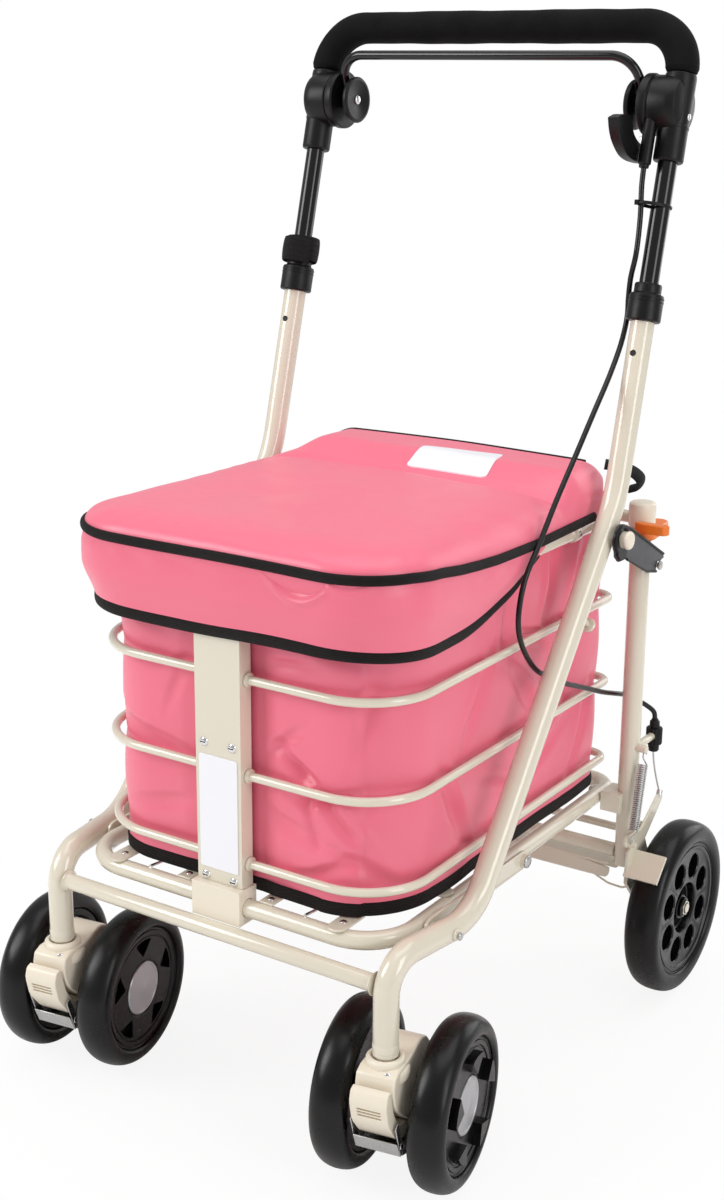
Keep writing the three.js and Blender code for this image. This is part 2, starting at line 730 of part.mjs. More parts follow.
// The cover leaves the seam steeply and levels out, a superellipse of the share of the way in
function lidTopZ(y, share) {
  const inward = Math.min(((1 - share) * lidHalf) / lidRoundReach, 1);
  const rise = (1 - (1 - inward) ** lidRoundPower) ** (1 / lidRoundPower);
  const seam = lidSeamZ(y);
  return seam + (lidCrownZ - seam) * rise + padRise * smoothStep((y - padStartY) / padSlopeLength) * rise;
}

function addLid() {
  const rings = [
    [1, 0, sideDraw / 2, 0], [1, 1 / 2, 0, 0], [1, 1, sideDraw, 1],
    ...cushionShares.map((share) => [share, 1, 0, 1]),
  ];
  const midY = (lidFrontY + lidRearY) / 2;
  const positions = [];
  const index = [];
  let count = 0;
  for (const [share, up, draw, top] of rings) {
    const outline = roundedOutline(lidHalf - draw, lidFrontY + draw, lidRearY - draw, lidCorner, cushionOutlineSteps);
    const dense = outline.flatMap(([x, y], i) => {
      const [nx, ny] = outline[(i + 1) % outline.length];
      const parts = Math.hypot(nx - x, ny - y) > lidCorner ? cushionSideParts : 1;
      return Array.from({ length: parts }, (_, k) => [x + ((nx - x) * k) / parts, y + ((ny - y) * k) / parts]);
    });
    count = dense.length;
    for (const [x, y] of dense) {
      const px = x * share;
      const py = midY + (y - midY) * share;
      const height = top ? lidTopZ(py, share) : lidFootZ + (lidSeamZ(py) - lidFootZ) * up;
      positions.push(px, py, height);
    }
  }
  for (let r = 0; r < rings.length - 1; r += 1) {
    for (let i = 0; i < count; i += 1) {
      const j = (i + 1) % count;
      const [a, b, c, d] = [r * count + i, r * count + j, (r + 1) * count + j, (r + 1) * count + i];
      index.push(a, b, c, a, c, d);
    }
  }
  const bottom = positions.length / 3;
  positions.push(0, midY, lidFootZ);
  positions.push(0, midY, lidTopZ(midY, 0));
  const last = (rings.length - 1) * count;
  for (let i = 0; i < count; i += 1) {
    const j = (i + 1) % count;
    index.push(bottom, j, i, bottom + 1, last + i, last + j);
  }
  const cushion = new THREE.BufferGeometry();
  cushion.setAttribute('position', new THREE.Float32BufferAttribute(positions, 3));
  cushion.setIndex(index);
  add('seat_cushion', outward(cushion), 'pink');

  const wall = [];
  const faces = [];
  const path = roundedOutline(skirtHalf, skirtFrontY, lidRearY, lidCorner, cushionOutlineSteps)
    .filter(([, y]) => y < 0);
  const right = path.filter(([x]) => x > 0);
  const left = path.filter(([x]) => x <= 0);
  const straight = skirtRuns;
  const sideRun = (x, from, to) => Array.from({ length: straight }, (_, k) => [x, from + ((to - from) * (k + 1)) / straight]);
  const frontRun = Array.from({ length: straight * 2 - 1 }, (_, k) => [
    (lidCorner - skirtHalf) * (1 - (2 * (k + 1)) / (straight * 2)) , skirtFrontY]);
  const route = [
    ...sideRun(-skirtHalf, skirtFrontY + lidCorner, skirtRearY).reverse(), ...left,
    ...frontRun, ...right, ...sideRun(skirtHalf, skirtFrontY + lidCorner, skirtRearY),
  ];
  route.forEach(([x, y], i) => {
    const [bx, by] = route[Math.max(i - 1, 0)];
    const [ax, ay] = route[Math.min(i + 1, route.length - 1)];
    const n = vec(ay - by, bx - ax, 0).normalize();
    const share = Math.min(Math.max((y - skirtRiseY) / (skirtRearY - skirtRiseY), 0), 1);
    const foot = skirtFrontFootZ + (skirtRearFootZ - skirtFrontFootZ) * share;
    const fold = skirtFold * Math.sin((i * Math.PI) / 2) * (y < skirtFrontY + weldMerge ? 1 : 0);
    for (const [inset, z, wave] of [[0, foot, fold], [0, skirtTopZ, 0], [skirtWall, skirtTopZ, 0], [skirtWall, foot, fold]]) {
      wall.push(x - n.x * (inset - wave), y - n.y * (inset - wave), z);
    }
  });
  for (let i = 0; i < route.length - 1; i += 1) {
    for (let k = 0; k < 4; k += 1) {
      const [a, b] = [i * 4 + k, i * 4 + ((k + 1) % 4)];
      faces.push(a, a + 4, b + 4, a, b + 4, b);
    }
  }
  const end = (route.length - 1) * 4;
  faces.push(0, 1, 2, 0, 2, 3, end, end + 2, end + 1, end, end + 3, end + 2);
  const skirt = new THREE.BufferGeometry();
  skirt.setAttribute('position', new THREE.Float32BufferAttribute(wall, 3));
  skirt.setIndex(faces);
  add('lid_skirt', outward(skirt), 'pink');
}

// Rear leg: posts, caps, catches, cross members, axle plates and the wire bracket
const ringTabFrontY = 168;
const ringTabHeight = 20;
const rearBracketThickness = 6;
const rearBracketFrontY = 174;
const rearBracketStepY = 184;
const rearBracketRearY = 202;
const rearBracketStepZ = 243;
const rearBracketTopZ = 438;
const axlePlateThickness = 4;
const axleEndReach = 15.2;
const axleReach = rearWheelHalf + axleEndReach;
const axleCollarRadius = 9;
const axleNutRadius = 8;
const axleNutWidth = 5;
const rearHubHalf = 15;
const rearHubOuter = 9;
const axlePlateOutline = [[178, 130], [226, 76], [240, 72], [253, 80], [254, 94], [212, 176], [211, 186],
  [204, 190], [196.5, 186], [196.5, 147.5], [178, 147.5]];
const catchDrop = 2;
const catchThickness = 10;
const catchTopZ = postTopZ - catchDrop;
const catchFootZ = catchTopZ - catchThickness;
const catchRadius = 14;
const catchTipRadius = 10;
const catchReach = 38;
const latchPinReach = 17.5;
const latchPinX = postHalf + latchPinReach;
const adjusterStudZ = 276;
const adjusterStudRadius = 4;
const adjusterY = 227;
const adjusterReach = 7;
const adjusterX = postHalf + adjusterReach;
function addRearLeg() {
  for (const [name, side] of sides) {
    const centre = vec(side * postHalf, postY, postFootZ);
    const post = rod(centre, vec(side * postHalf, postY, postTopZ), postRadius, roundSides);
    const tabX = ringHalf + ringRadius + pivotBarGap;
    const [a, b] = spanX(side, tabX, postHalf);
    const tab = box(a, b, ringTabFrontY, postY, ringZ - ringTabHeight / 2, ringZ + ringTabHeight / 2);
    const [c, d] = spanX(side, ringHalf - pivotBoltReach, tabX + seatGap);
    const bolt = rodX(c, d, rearPivotY, ringZ, pivotBoltRadius, thinSides);
    const nose = box(a, b, postY - seatGap, rearPivotY + pivotBoltRadius + plateThickness,
      ringZ - ringTabHeight / 2, ringZ + ringTabHeight / 2);
    const [e, f] = spanX(side, postHalf, latchPinX + latchPinOverrun);
    const pin = rodX(e, f, latchPinY, latchPinZ, latchPinRadius, 12);
    const pieces = [tab, nose, bolt, pin];
    if (side > 0) {
      pieces.push(rodX(postHalf, springX + springRadius / 2, springTop.y, adjusterStudZ, adjusterStudRadius, 12));
      pieces.push(rod(vec(adjusterX, postY, adjusterStudZ), vec(adjusterX, adjusterY, adjusterStudZ),
        adjusterStudRadius, 12));
    }
    add(`rear_post_${name}`, join(post, ...pieces), 'beige');
    add(`post_cap_${name}`, rod(vec(side * postHalf, postY, postTopZ + seatGap),
      vec(side * postHalf, postY, postTopZ + seatGap + capHeight), capRadius, 20), 'cream');
    const wing = slotOutline([side * postHalf, postY], [side * postHalf, postY + catchReach],
      catchRadius, catchTipRadius, 8);
    const hole = rod(vec(side * postHalf, postY, catchFootZ - cutOver),
      vec(side * postHalf, postY, catchTopZ + cutOver), postRadius + runGap, 20);
    add(`safety_catch_${name}`, cut(plateXY(wing, catchFootZ, catchTopZ), hole), 'orange');

    const [g, h] = spanX(side, axlePlateX, axlePlateX + axlePlateThickness);
    const plate = plateYZ(axlePlateOutline, g, h);
    const [k, l] = spanX(side, axlePlateX, axleReach);
    const stub = rodX(k, l, rearWheelY, rearWheelRadius, axleRadius, 12);
    const [m, n] = spanX(side, axlePlateX, rearWheelHalf - rearHubHalf - runGap);
    const collar = rodX(m, n, rearWheelY, rearWheelRadius, axleCollarRadius, 12);
    const [o, p] = spanX(side, rearWheelHalf + rearHubOuter + runGap, rearWheelHalf + rearHubOuter + axleNutWidth);
    const nut = rodX(o, p, rearWheelY, rearWheelRadius, axleNutRadius, 6);
    const rodHole = rodX(g - cutOver, h + cutOver, beamY, beamZ, beamRadius + runGap, 12);
    add(`axle_plate_${name}`, cut(join(plate, stub, collar, nut), rodHole), 'steel');
  }
  const channel = box(-channelHalf, channelHalf, channelFrontY, channelRearY, channelFootZ, channelTopZ);
  const hollow = box(-channelHalf - cutOver, channelHalf + cutOver, channelFrontY + channelWall,
    channelRearY - channelWall, channelFootZ - cutOver, channelTopZ - channelWall);
  add('rear_channel', cut(channel, hollow), 'beige');
  const tubeHalf = postHalf - postRadius - seatGap;
  add('rear_cross_tube', rodX(-tubeHalf, tubeHalf, rearTubeY, rearTubeZ, rearTubeRadius, 12), 'beige');

  const half = rearBracketThickness / 2;
  const footZ = rearTubeZ + rearTubeRadius + seatGap;
  const outline = [
    [rearBracketFrontY, footZ], [rearBracketStepY, footZ], [rearBracketStepY, rearBracketStepZ],
    [rearBracketRearY, rearBracketStepZ], [rearBracketRearY, rearBracketTopZ], [rearBracketFrontY, rearBracketTopZ],
  ];
  const wireY = wireFrontY + (rearPivotY - ringFrontY);
  const holes = Object.values(wireHeights).map((z) => rodX(-half - cutOver, half + cutOver, wireY, z,
    wireRadius + runGap, 12));
  add('rear_bracket', cut(plateYZ(outline, -half, half), ...holes), 'beige');
}

// Brake: beam with shoes and pull lever, its return spring, adjuster and inner wire
const armReach = 10.2;
const armInnerX = postHalf + armReach;
const armThickness = 3;
const shoeReach = 13;
const shoeOuterX = rearWheelHalf + shoeReach;
const shoeThickness = 3;
const shoeLength = 30;
const leverTip = { y: 237, z: 204.5 };
const springReach = 17.2;
const springX = postHalf + springReach;
const springTop = { y: 183, z: 271.7 };
const springFoot = { y: 163.5, z: 184.4 };
const springRadius = 5;
const springWire = 0.8;
const springCurls = 28;
const springCurlSteps = 7;
const springHook = 10;
const springSides = 5;
const springEar = { y: 163.5, z: 183 };
const earRadius = 6;
const earSwell = 1.4;
const armFootShare = 0.9;
const innerWireBend = { reach: 9, y: 231, z: 233 };
const innerWireGap = 0.6;
const adjusterRadius = 8;
const adjusterFootZ = 258;
const adjusterTopZ = 292;
const innerWireRadius = 1;
const cableRadius = 2.5;
const cableSteps = 50;
const cableSides = 6;
function addBrake() {
  const angle = (3 * Math.PI) / 4;
  const shoeY = rearWheelY + shoeDistance * Math.cos(angle);
  const shoeZ = rearWheelRadius + shoeDistance * Math.sin(angle);
  const t = [Math.sin(angle), -Math.cos(angle)];
  const n = [Math.cos(angle), Math.sin(angle)];
  const corner = (along, out) => [shoeY + t[0] * along + n[0] * out, shoeZ + t[1] * along + n[1] * out];
  const half = shoeLength / 2;
  const shoeOutline = [corner(-half, 0), corner(half, 0), corner(half, shoeThickness), corner(-half, shoeThickness)];
  const armFoot = [corner(-half * armFootShare, 0), corner(half * armFootShare, 0)];
  const pieces = [];
  for (const [, side] of sides) {
    const [a, b] = spanX(side, armInnerX, armInnerX + armThickness);
    const arm = plateYZ([armFoot[0], armFoot[1], [beamY + beamRadius * 2, beamZ - beamRadius],
      [beamY + beamRadius * 2, beamZ + beamRadius], [beamY - beamRadius, beamZ + beamRadius * 2],
      [shoeY - half / 2, shoeZ + half]], a, b);
    const [c, d] = spanX(side, armInnerX, shoeOuterX);
    pieces.push(arm, plateYZ(shoeOutline, c, d));
    if (side > 0) {
      pieces.push(plateYZ(slotOutline([beamY, beamZ], [leverTip.y, leverTip.z], earRadius * earSwell, earRadius, 6), a, b));
      pieces.push(plateYZ(slotOutline([springEar.y, springEar.z], [beamY, beamZ], earRadius, earRadius, 6), a, b));
      pieces.push(rodX(armInnerX, springX + springRadius, springEar.y, springEar.z - earRadius / 3, earRadius / 2, 10));
    }
  }
  const beam = rodX(-armInnerX - armThickness, armInnerX + armThickness, beamY, beamZ, beamRadius, 12);
  add('brake_beam', join(beam, ...pieces), 'steel');

  const top = vec(springX, springTop.y, springTop.z);
  const foot = vec(springX, springFoot.y, springFoot.z);
  const axis = foot.clone().sub(top);
  const length = axis.length();
  axis.normalize();
  const u = X.clone();
  const v = axis.clone().cross(u).normalize();
  const lead = springWire * 2;
  const coilLength = length - springHook * 2;
  const samples = [top.clone(), top.clone().addScaledVector(axis, lead)];
  const steps = springCurls * springCurlSteps;
  for (let i = 0; i <= steps; i += 1) {
    const a = (2 * Math.PI * i) / springCurlSteps;
    samples.push(top.clone().addScaledVector(axis, springHook + (coilLength * i) / steps)
      .addScaledVector(u, springRadius * Math.cos(a)).addScaledVector(v, springRadius * Math.sin(a)));
  }
  samples.push(foot.clone().addScaledVector(axis, -lead), foot.clone());
  add('brake_spring', tube(samples, springWire, springSides), 'steel');
  let least = Infinity;
  for (let i = 0; i < samples.length; i += 1) {
    for (let j = i + Math.ceil(springCurlSteps / 2); j < samples.length; j += 1) {
      least = Math.min(least, samples[i].distanceTo(samples[j]));
    }
  }
  console.log('least gap of the spring wire to itself, mm:', (least - 2 * springWire).toFixed(2));

  const adjuster = rod(vec(adjusterX, adjusterY, adjusterFootZ), vec(adjusterX, adjusterY, adjusterTopZ),
    adjusterRadius, 14);
  const studCut = rod(vec(adjusterX, postY, adjusterStudZ), vec(adjusterX, adjusterY + seatGap, adjusterStudZ),
    adjusterStudRadius + seatGap, 12);
  add('cable_adjuster', cut(adjuster, studCut), 'black');
  add('brake_inner_wire', tube([
    vec(adjusterX, adjusterY, adjusterFootZ - runGap),
    vec(postHalf + innerWireBend.reach, innerWireBend.y, innerWireBend.z),
    vec(armInnerX + armThickness / 2, leverTip.y, leverTip.z + earRadius + innerWireGap)], innerWireRadius, thinSides), 'steel');
}

// Brake cable: points along its clipped and draped route from the guide to the adjuster,
// as distance out from the upright's centre line, depth and height
const cableRoute = [
  [-16, 184, 835.4], [-15.4, 180, 818], [-13, 175, 790], [-12, 167.6, 757.3], [-17.5, 170.5, 735],
  [-19.5, 172, 716], [-19.3, 171, 700],
  [-18.4, 160, 678.5], [-17, 136.5, 652], [-15.6, 101, 619], [-15.4, 69, 586.5], [-15.4, 35, 552],
  [-15.4, 4.9, 518], [-15.4, -18.5, 492], [-15.4, -27.5, 468], [-15.4, -28, 452], [-15.4, -23, 437], [-15.5, -10, 419],
  [-15.7, 7, 403], [-15.8, 27, 391], [-15.8, 65, 373], [-16, 110, 355], [-15.8, 150, 339], [-15.4, 176, 330],
  [-14, 196, 323], [-7, 210, 315], [1, 220, 307], [6, 225.5, 300], [7, 227, 292.5],
];
function addCable() {
  const curve = new THREE.CatmullRomCurve3(cableRoute.map(([out, y, z]) => vec(frameHalf + out, y, z)), false, 'centripetal');
  const samples = Array.from({ length: cableSteps + 1 }, (_, i) => curve.getPoint(i / cableSteps));
  let length = 0;
  for (let i = 1; i < samples.length; i += 1) length += samples[i].distanceTo(samples[i - 1]);
  console.log('brake cable length, mm:', length.toFixed(0));
  add('brake_cable', tube(samples, cableRadius, cableSides), 'black');
}

// Wheels: profile rows are shares of the radius and of half the tyre width
const frontWheelShares = [[0.19, -0.76], [0.25, -0.76], [0.25, -0.42], [0.68, -0.42], [0.7, -0.86],
  [0.86, -1], [0.96, -0.66], [1, 0], [0.96, 0.66], [0.86, 1], [0.7, 0.86], [0.68, 0.42],
  [0.25, 0.42], [0.25, 0.76], [0.19, 0.76]];
const rearTyreShares = [[0.78, -0.8], [0.88, -1], [0.96, -0.76], [1, -0.1], [1, 0.1], [0.96, 0.76],
  [0.88, 1], [0.78, 0.8]];
const rearRimShares = [[0.3, -0.42], [0.68, -0.42], [0.7, -0.8], [0.775, -0.8], [0.775, 0.8], [0.7, 0.8],
  [0.68, 0.42], [0.3, 0.42]];
const rimHoles = 8;
const rimHoleRadius = 10;
const rimHoleRingRadius = 45;
const frontPockets = 5;
const frontPocketRadius = 11;
const frontPocketRingRadius = 35;
const frontBore = 6.5;
const wheelSegments = 18;
const tyreSegments = 22;
function closed(shares, radius, half) {
  const rows = shares.map(([r, x]) => [r * radius, x * half]);
  return [...rows, rows[0]];
}

function addRearWheels() {
  for (const [name, side] of sides) {
    const centre = vec(side * rearWheelHalf, rearWheelY, rearWheelRadius);
    const tyre = turnedX(closed(rearTyreShares, rearWheelRadius, rearTyreWidth / 2), tyreSegments, centre);
    add(`rear_tyre_${name}`, outward(tyre), 'rubber');
    const bore = axleRadius + runGap;
    const rows = closed(rearRimShares, rearWheelRadius, rearTyreWidth / 2);
    const hubRows = [[bore, -rearHubHalf], [rows[0][0] / 2, -rearHubHalf], rows[0], ...rows.slice(1, -1),
      [rows[0][0] / 2, rearHubOuter], [bore, rearHubOuter], [bore, -rearHubHalf]];
    const rim = outward(turnedX(hubRows.map(([r, x]) => [r, side * x]), tyreSegments, centre));
    const holes = Array.from({ length: rimHoles }, (_, i) => {
      const a = (2 * Math.PI * i) / rimHoles;
      return rodX(centre.x - rearTyreWidth, centre.x + rearTyreWidth,
        rearWheelY + rimHoleRingRadius * Math.cos(a), rearWheelRadius + rimHoleRingRadius * Math.sin(a), rimHoleRadius, 6);
    });
    add(`rear_rim_${name}`, cut(rim, ...holes), 'black');
  }
}

// Twin caster: head with stem and axle, brake pedal, two wheels; built at the stem, then yawed
const headHalf = 22;
const headOutline = [[-20, 131], [16, 131], [26, 120], [60, 92], [62, 66], [46, 56], [30, 58], [14, 70],
  [-4, 84], [-18, 98], [-24, 116]];
const headStemRadius = 7.5;
const headStemTopZ = 165;
const headCollarRadius = 13;
const headCollarTopZ = 136.5;
const axleEndRadius = 6;
// The pedal's lug is an arc round its pivot at y 2, z 63, so it keeps its gap to the head
const pedalOutline = [[-26, 114], [-21, 96], [-8, 78], [5.2, 75], [9.6, 72.8], [11.5, 71], [6, 63], [-2, 61],
  [-16, 70], [-32, 90], [-36, 104]];
const pedalHalf = 21;
const plateOutlineFront = [[-12, 53], [2, 48], [20, 49], [36, 54], [36, 60], [30, 60], [18, 55], [4, 55], [-8, 59]];
function addCasters() {
  for (const [name, side] of sides) {
    const caster = new THREE.Group();
    caster.position.set(side * stemHalf, stemY, 0);
    caster.rotation.z = casterYaw[name];
    root.add(caster);
    const block = plateYZ(headOutline, -headHalf, headHalf);
    const stem = rod(vec(0, 0, headCollarTopZ - cutOver), vec(0, 0, headStemTopZ), headStemRadius, roundSides);
    const collar = rod(vec(0, 0, headOutline[0][1] - cutOver), vec(0, 0, headCollarTopZ), headCollarRadius, 14);
    const axleHalf = wheelSpread + frontTyreWidth / 2 - plateThickness;
    const axle = rodX(-axleHalf, axleHalf, casterTrail, frontWheelRadius, axleEndRadius, 12);
    const skid = plateYZ(plateOutlineFront, -pedalHalf, pedalHalf);
    add(`caster_head_${name}`, join(block, stem, collar, axle, skid), 'cream', caster);
    const pedal = plateYZ(pedalOutline, -pedalHalf, pedalHalf);
    const room = plateYZ(headOutline.map(([y, z]) => [y - runGap, z]), -headHalf - cutOver, headHalf + cutOver);
    add(`caster_pedal_${name}`, cut(pedal, room), 'cream', caster);
    for (const [place, k] of [['inner', -side], ['outer', side]]) {
      const centre = vec(k * wheelSpread, casterTrail, frontWheelRadius);
      const profile = closed(frontWheelShares, frontWheelRadius, frontTyreWidth / 2);
      const fixed = profile.map(([r, x]) => [Math.max(r, frontBore), x]);
      const rows = fixed.map(([r, x], i) => (i === 0 || i >= fixed.length - 2 ? [frontBore, x] : [r, x]));
      const wheel = outward(turnedX(rows, wheelSegments, centre));
      const pockets = Array.from({ length: frontPockets }, (_, i) => {
        const a = (2 * Math.PI * (i + 1 / 4)) / frontPockets;
        return rodX(centre.x - frontTyreWidth, centre.x + frontTyreWidth,
          casterTrail + frontPocketRingRadius * Math.cos(a), frontWheelRadius + frontPocketRingRadius * Math.sin(a),
          frontPocketRadius, 6);
      });
      add(`front_wheel_${name}_${place}`, cut(wheel, ...pockets), 'rubber', caster);
    }
  }
}

addMainFrame();
addPivotBars();
addLatches();
addHandle();
addParkLever();
addBasket();
addSeatFrame();
addBag();
addLid();
addRearLeg();
addBrake();
addCable();
addRearWheels();
addCasters();
for (const child of root.children) {
  child.position.x -= originX;
  child.position.y -= originY;
}

export default root;
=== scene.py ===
# %% [markdown]
# # A shopping rollator
#
# This lesson dresses a folding shopping walker: a beige tube frame on twin casters and two
# braked rear wheels, a pink bag inside wire rings, a padded lid to sit on and a black
# telescopic handle. The frame file already holds every working piece at its true size, so
# the cells here make a finer surface for each of them, add the screws, wires and trimmings,
# and hang most of them on the body that moves it. The brake cable, spring and inner wire
# hang on none.

import json
import math

import bmesh
import bpy
import numpy as np
from mathutils import Matrix, Vector


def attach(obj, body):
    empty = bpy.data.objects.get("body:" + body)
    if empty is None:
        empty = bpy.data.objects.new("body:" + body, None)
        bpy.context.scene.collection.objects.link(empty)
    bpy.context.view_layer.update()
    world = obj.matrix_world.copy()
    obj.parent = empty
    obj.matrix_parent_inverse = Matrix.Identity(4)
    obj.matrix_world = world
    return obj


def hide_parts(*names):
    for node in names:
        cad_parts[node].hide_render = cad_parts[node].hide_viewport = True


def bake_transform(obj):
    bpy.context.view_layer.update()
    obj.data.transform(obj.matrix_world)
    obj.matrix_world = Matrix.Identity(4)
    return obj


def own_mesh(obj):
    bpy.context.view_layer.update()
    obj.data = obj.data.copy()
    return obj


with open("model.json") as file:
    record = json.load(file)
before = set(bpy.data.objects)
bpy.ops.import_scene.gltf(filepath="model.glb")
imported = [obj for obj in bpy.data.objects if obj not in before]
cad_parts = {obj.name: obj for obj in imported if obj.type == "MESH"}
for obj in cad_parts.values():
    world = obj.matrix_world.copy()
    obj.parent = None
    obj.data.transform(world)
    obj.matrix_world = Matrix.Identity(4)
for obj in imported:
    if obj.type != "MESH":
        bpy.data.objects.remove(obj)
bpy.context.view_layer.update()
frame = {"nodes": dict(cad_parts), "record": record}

# %% [markdown]
# The pieces are written in millimetres, measured from the line on which the basket folds,
# because that is how a frame builder would mark the tubes. Blender wants metres, and the
# part's origin is under the middle of its depth, so one helper turns the first into the
# second. Writing it once means that no cell has to think about it again.

# %% Units
MIDDLE, ASIDE = 29.95, 3.3  # from the fold line to the part's middle
SIDES = (("left", -1), ("right", 1))
TUBE_X, TUBE_RADIUS = 196.0, 11.0  # side tubes, handle and rear posts
STEM_X, STEM_Y = 179.0, -230.0  # caster stems
POST_Y = 185.0
RING_Z, SEAT_Z = 218.0, 507.0  # basket ring and seat tube
LATCH_PIVOT = np.array([103.0, SEAT_Z])
REAR_AXLE = np.array([240.0, 89.0])
FRONT_AXLE = np.array([46.0, 75.0])  # behind the stem, above the floor


def metres(points):
    """Millimetres from the fold line become metres from the part's middle."""
    p = np.array(points, dtype=float)
    p[..., 0] += ASIDE
    p[..., 1] -= MIDDLE
    return p * 0.001


def unit(v):
    """Each row of v divided by its own length."""
    return v / np.maximum(np.linalg.norm(v, axis=-1, keepdims=True), 1e-12)


def lean(z):
    """Depth of the upright's centre line at height z above the seat bend."""
    return 121.9 + 0.2589 * (z - 536.0)


# %% [markdown]
# The camera stands in front and to the right, above the lid. Its place, the three
# directions of its picture and its focal length were fitted to the tubes and the wheel
# rims. The fit was made in pixels of a 724 by 1200 picture, so the lens and the shift are
# written as shares of its long side. The shift slides the picture, not the camera.

# %% Camera
LONG_SIDE, SENSOR = 1200.0, 36.0
camera_data = bpy.data.cameras.new("camera")
camera = bpy.data.objects.new("camera", camera_data)
bpy.context.scene.collection.objects.link(camera)
right = Vector((0.84470, 0.53504, 0.01444))
up = Vector((-0.15680, 0.22157, 0.96246))
forward = Vector((-0.51175, 0.81525, -0.27105))
turn = Matrix((right, up, -forward)).transposed()
camera.matrix_world = Matrix.Translation(Vector(metres((849.09, -1273.04, 895.33)))) @ turn.to_4x4()
camera_data.sensor_fit = "AUTO"
camera_data.sensor_width = SENSOR
camera_data.lens = 1704.5 / LONG_SIDE * SENSOR
camera_data.shift_x = (362.0 - 408.7) / LONG_SIDE
camera_data.shift_y = (573.2 - 600.0) / LONG_SIDE
camera_data.clip_end = 50.0
bpy.context.scene.camera = camera
print("lens in mm:", round(camera_data.lens, 2))

# %% [markdown]
# Light and materials are graphs of small nodes. One helper adds a node with the values of
# its inputs and another draws the links, so each graph below reads as a short list.


# %% Node helpers
WHITE = (1.0, 1.0, 1.0, 1.0)


def add(graph, kind, group=None, **values):
    """A new shader node with its input values by label, underscores standing for spaces."""
    node = graph.nodes.new("ShaderNode" + kind)
    if group:
        node.node_tree = group
    for label, value in values.items():
        node.inputs[label.replace("_", " ")].default_value = value
    return node


def link(graph, *links):
    """Draws links, each written as (node, its output, node, its input)."""
    for giver, output, taker, place in links:
        graph.links.new(giver.outputs[output], taker.inputs[place])


# %% [markdown]
# Studio light for a glossy object is a few large soft lamps: one big panel in front on the
# left gives the long pale streaks along the tubes, one above lifts the lid, and two at the
# right and the rear draw the edges of the wheels. A picture of a studio could light it too,
# but lamps can be moved one at a time until each streak falls where it should. The floor
# fades to the white background a little way out, and near the walker it keeps its shadow.


# %% Light, floor and background
scene = bpy.context.scene
scene.view_settings.view_transform = "Standard"
world = bpy.data.worlds.new("studio")
scene.world = world
world.use_nodes = True
sky = world.node_tree
sky.nodes.clear()
sky_out = add(sky, "OutputWorld")
fill_light = add(sky, "Background", Color=WHITE, Strength=0.5)
backdrop = add(sky, "Background", Color=WHITE, Strength=1.0)
sky_seen = add(sky, "LightPath")
sky_mix = add(sky, "MixShader")
link(sky, (sky_seen, "Is Camera Ray", sky_mix, "Fac"), (fill_light, "Background", sky_mix, 1),
     (backdrop, "Background", sky_mix, 2), (sky_mix, "Shader", sky_out, "Surface"))


def lamp(name, place, aim, size, watts):
    """A rectangular panel of the given size in metres at a place, facing an aim point."""
    data = bpy.data.lights.new(name, "AREA")
    data.shape = "RECTANGLE"
    data.size, data.size_y = size
    data.energy = watts
    lamp_object = bpy.data.objects.new(name, data)
    lamp_object.location = place
    lamp_object.rotation_euler = (Vector(aim) - Vector(place)).to_track_quat("-Z", "Y").to_euler()
    scene.collection.objects.link(lamp_object)


lamp("panel_front", (-1.9, -2.0, 1.9), (0, 0, 0.45), (1.3, 1.6), 46.0)
lamp("panel_right", (2.6, -0.7, 1.4), (0, 0, 0.45), (0.9, 2.0), 24.0)
lamp("panel_top", (0.1, 0.1, 2.6), (0, 0, 0.4), (2.2, 2.2), 26.0)
lamp("panel_rear", (0.8, 2.4, 1.2), (0, 0, 0.5), (1.6, 1.6), 14.0)

FLOOR_HALF = 6.0
floor_mesh = bpy.data.meshes.new("floor")
floor_corners = [(FLOOR_HALF * a, FLOOR_HALF * b, 0) for a, b in ((-1, -1), (1, -1), (1, 1), (-1, 1))]
floor_mesh.from_pydata(floor_corners, [], [(0, 1, 2, 3)])
floor = bpy.data.objects.new("floor", floor_mesh)
scene.collection.objects.link(floor)
floor_paint = bpy.data.materials.new("studio floor")
floor_paint.use_nodes = True
paint = floor_paint.node_tree
paint.nodes.clear()
floor_out = add(paint, "OutputMaterial")
matte = add(paint, "BsdfDiffuse", Color=(0.92, 0.92, 0.92, 1.0))
glow = add(paint, "Emission", Strength=1.0)
floor_seen = add(paint, "LightPath")
spot = add(paint, "NewGeometry")
reach = add(paint, "VectorMath")
reach.operation = "LENGTH"
fade = add(paint, "MapRange", From_Min=0.26, From_Max=0.56, To_Min=0.88, To_Max=1.0)
fade.interpolation_type = "SMOOTHSTEP"
share = add(paint, "Math")
share.operation = "MULTIPLY"
floor_mix = add(paint, "MixShader")
link(paint, (spot, "Position", reach, 0), (reach, "Value", fade, "Value"),
     (floor_seen, "Is Camera Ray", share, 0), (fade, "Result", share, 1),
     (share, "Value", floor_mix, "Fac"), (matte, "BSDF", floor_mix, 1),
     (glow, "Emission", floor_mix, 2), (floor_mix, "Shader", floor_out, "Surface"))
floor_mesh.materials.append(floor_paint)

# %% [markdown]
# Several finishes share the same small effects: a slow drift of tone, the fine grain of a
# moulded or sprayed surface, scuffs that dull the gloss, and the threads of a woven tape.
# Each effect is one node group with named sockets, and every material places it with its
# own numbers. That keeps the materials short and lets them differ only where they must.


# %% Shared effects
def group_with(name, inputs, outputs):
    """An empty shader node group with float, colour or vector sockets by name."""
    made = bpy.data.node_groups.new(name, "ShaderNodeTree")
    kinds = {"f": "NodeSocketFloat", "c": "NodeSocketColor", "v": "NodeSocketVector"}
    for label, kind, value in inputs:
        socket = made.interface.new_socket(label, in_out="INPUT", socket_type=kinds[kind])
        if value is not None:
            socket.default_value = value
    for label, kind in outputs:
        made.interface.new_socket(label, in_out="OUTPUT", socket_type=kinds[kind])
    return made, made.nodes.new("NodeGroupInput"), made.nodes.new("NodeGroupOutput")


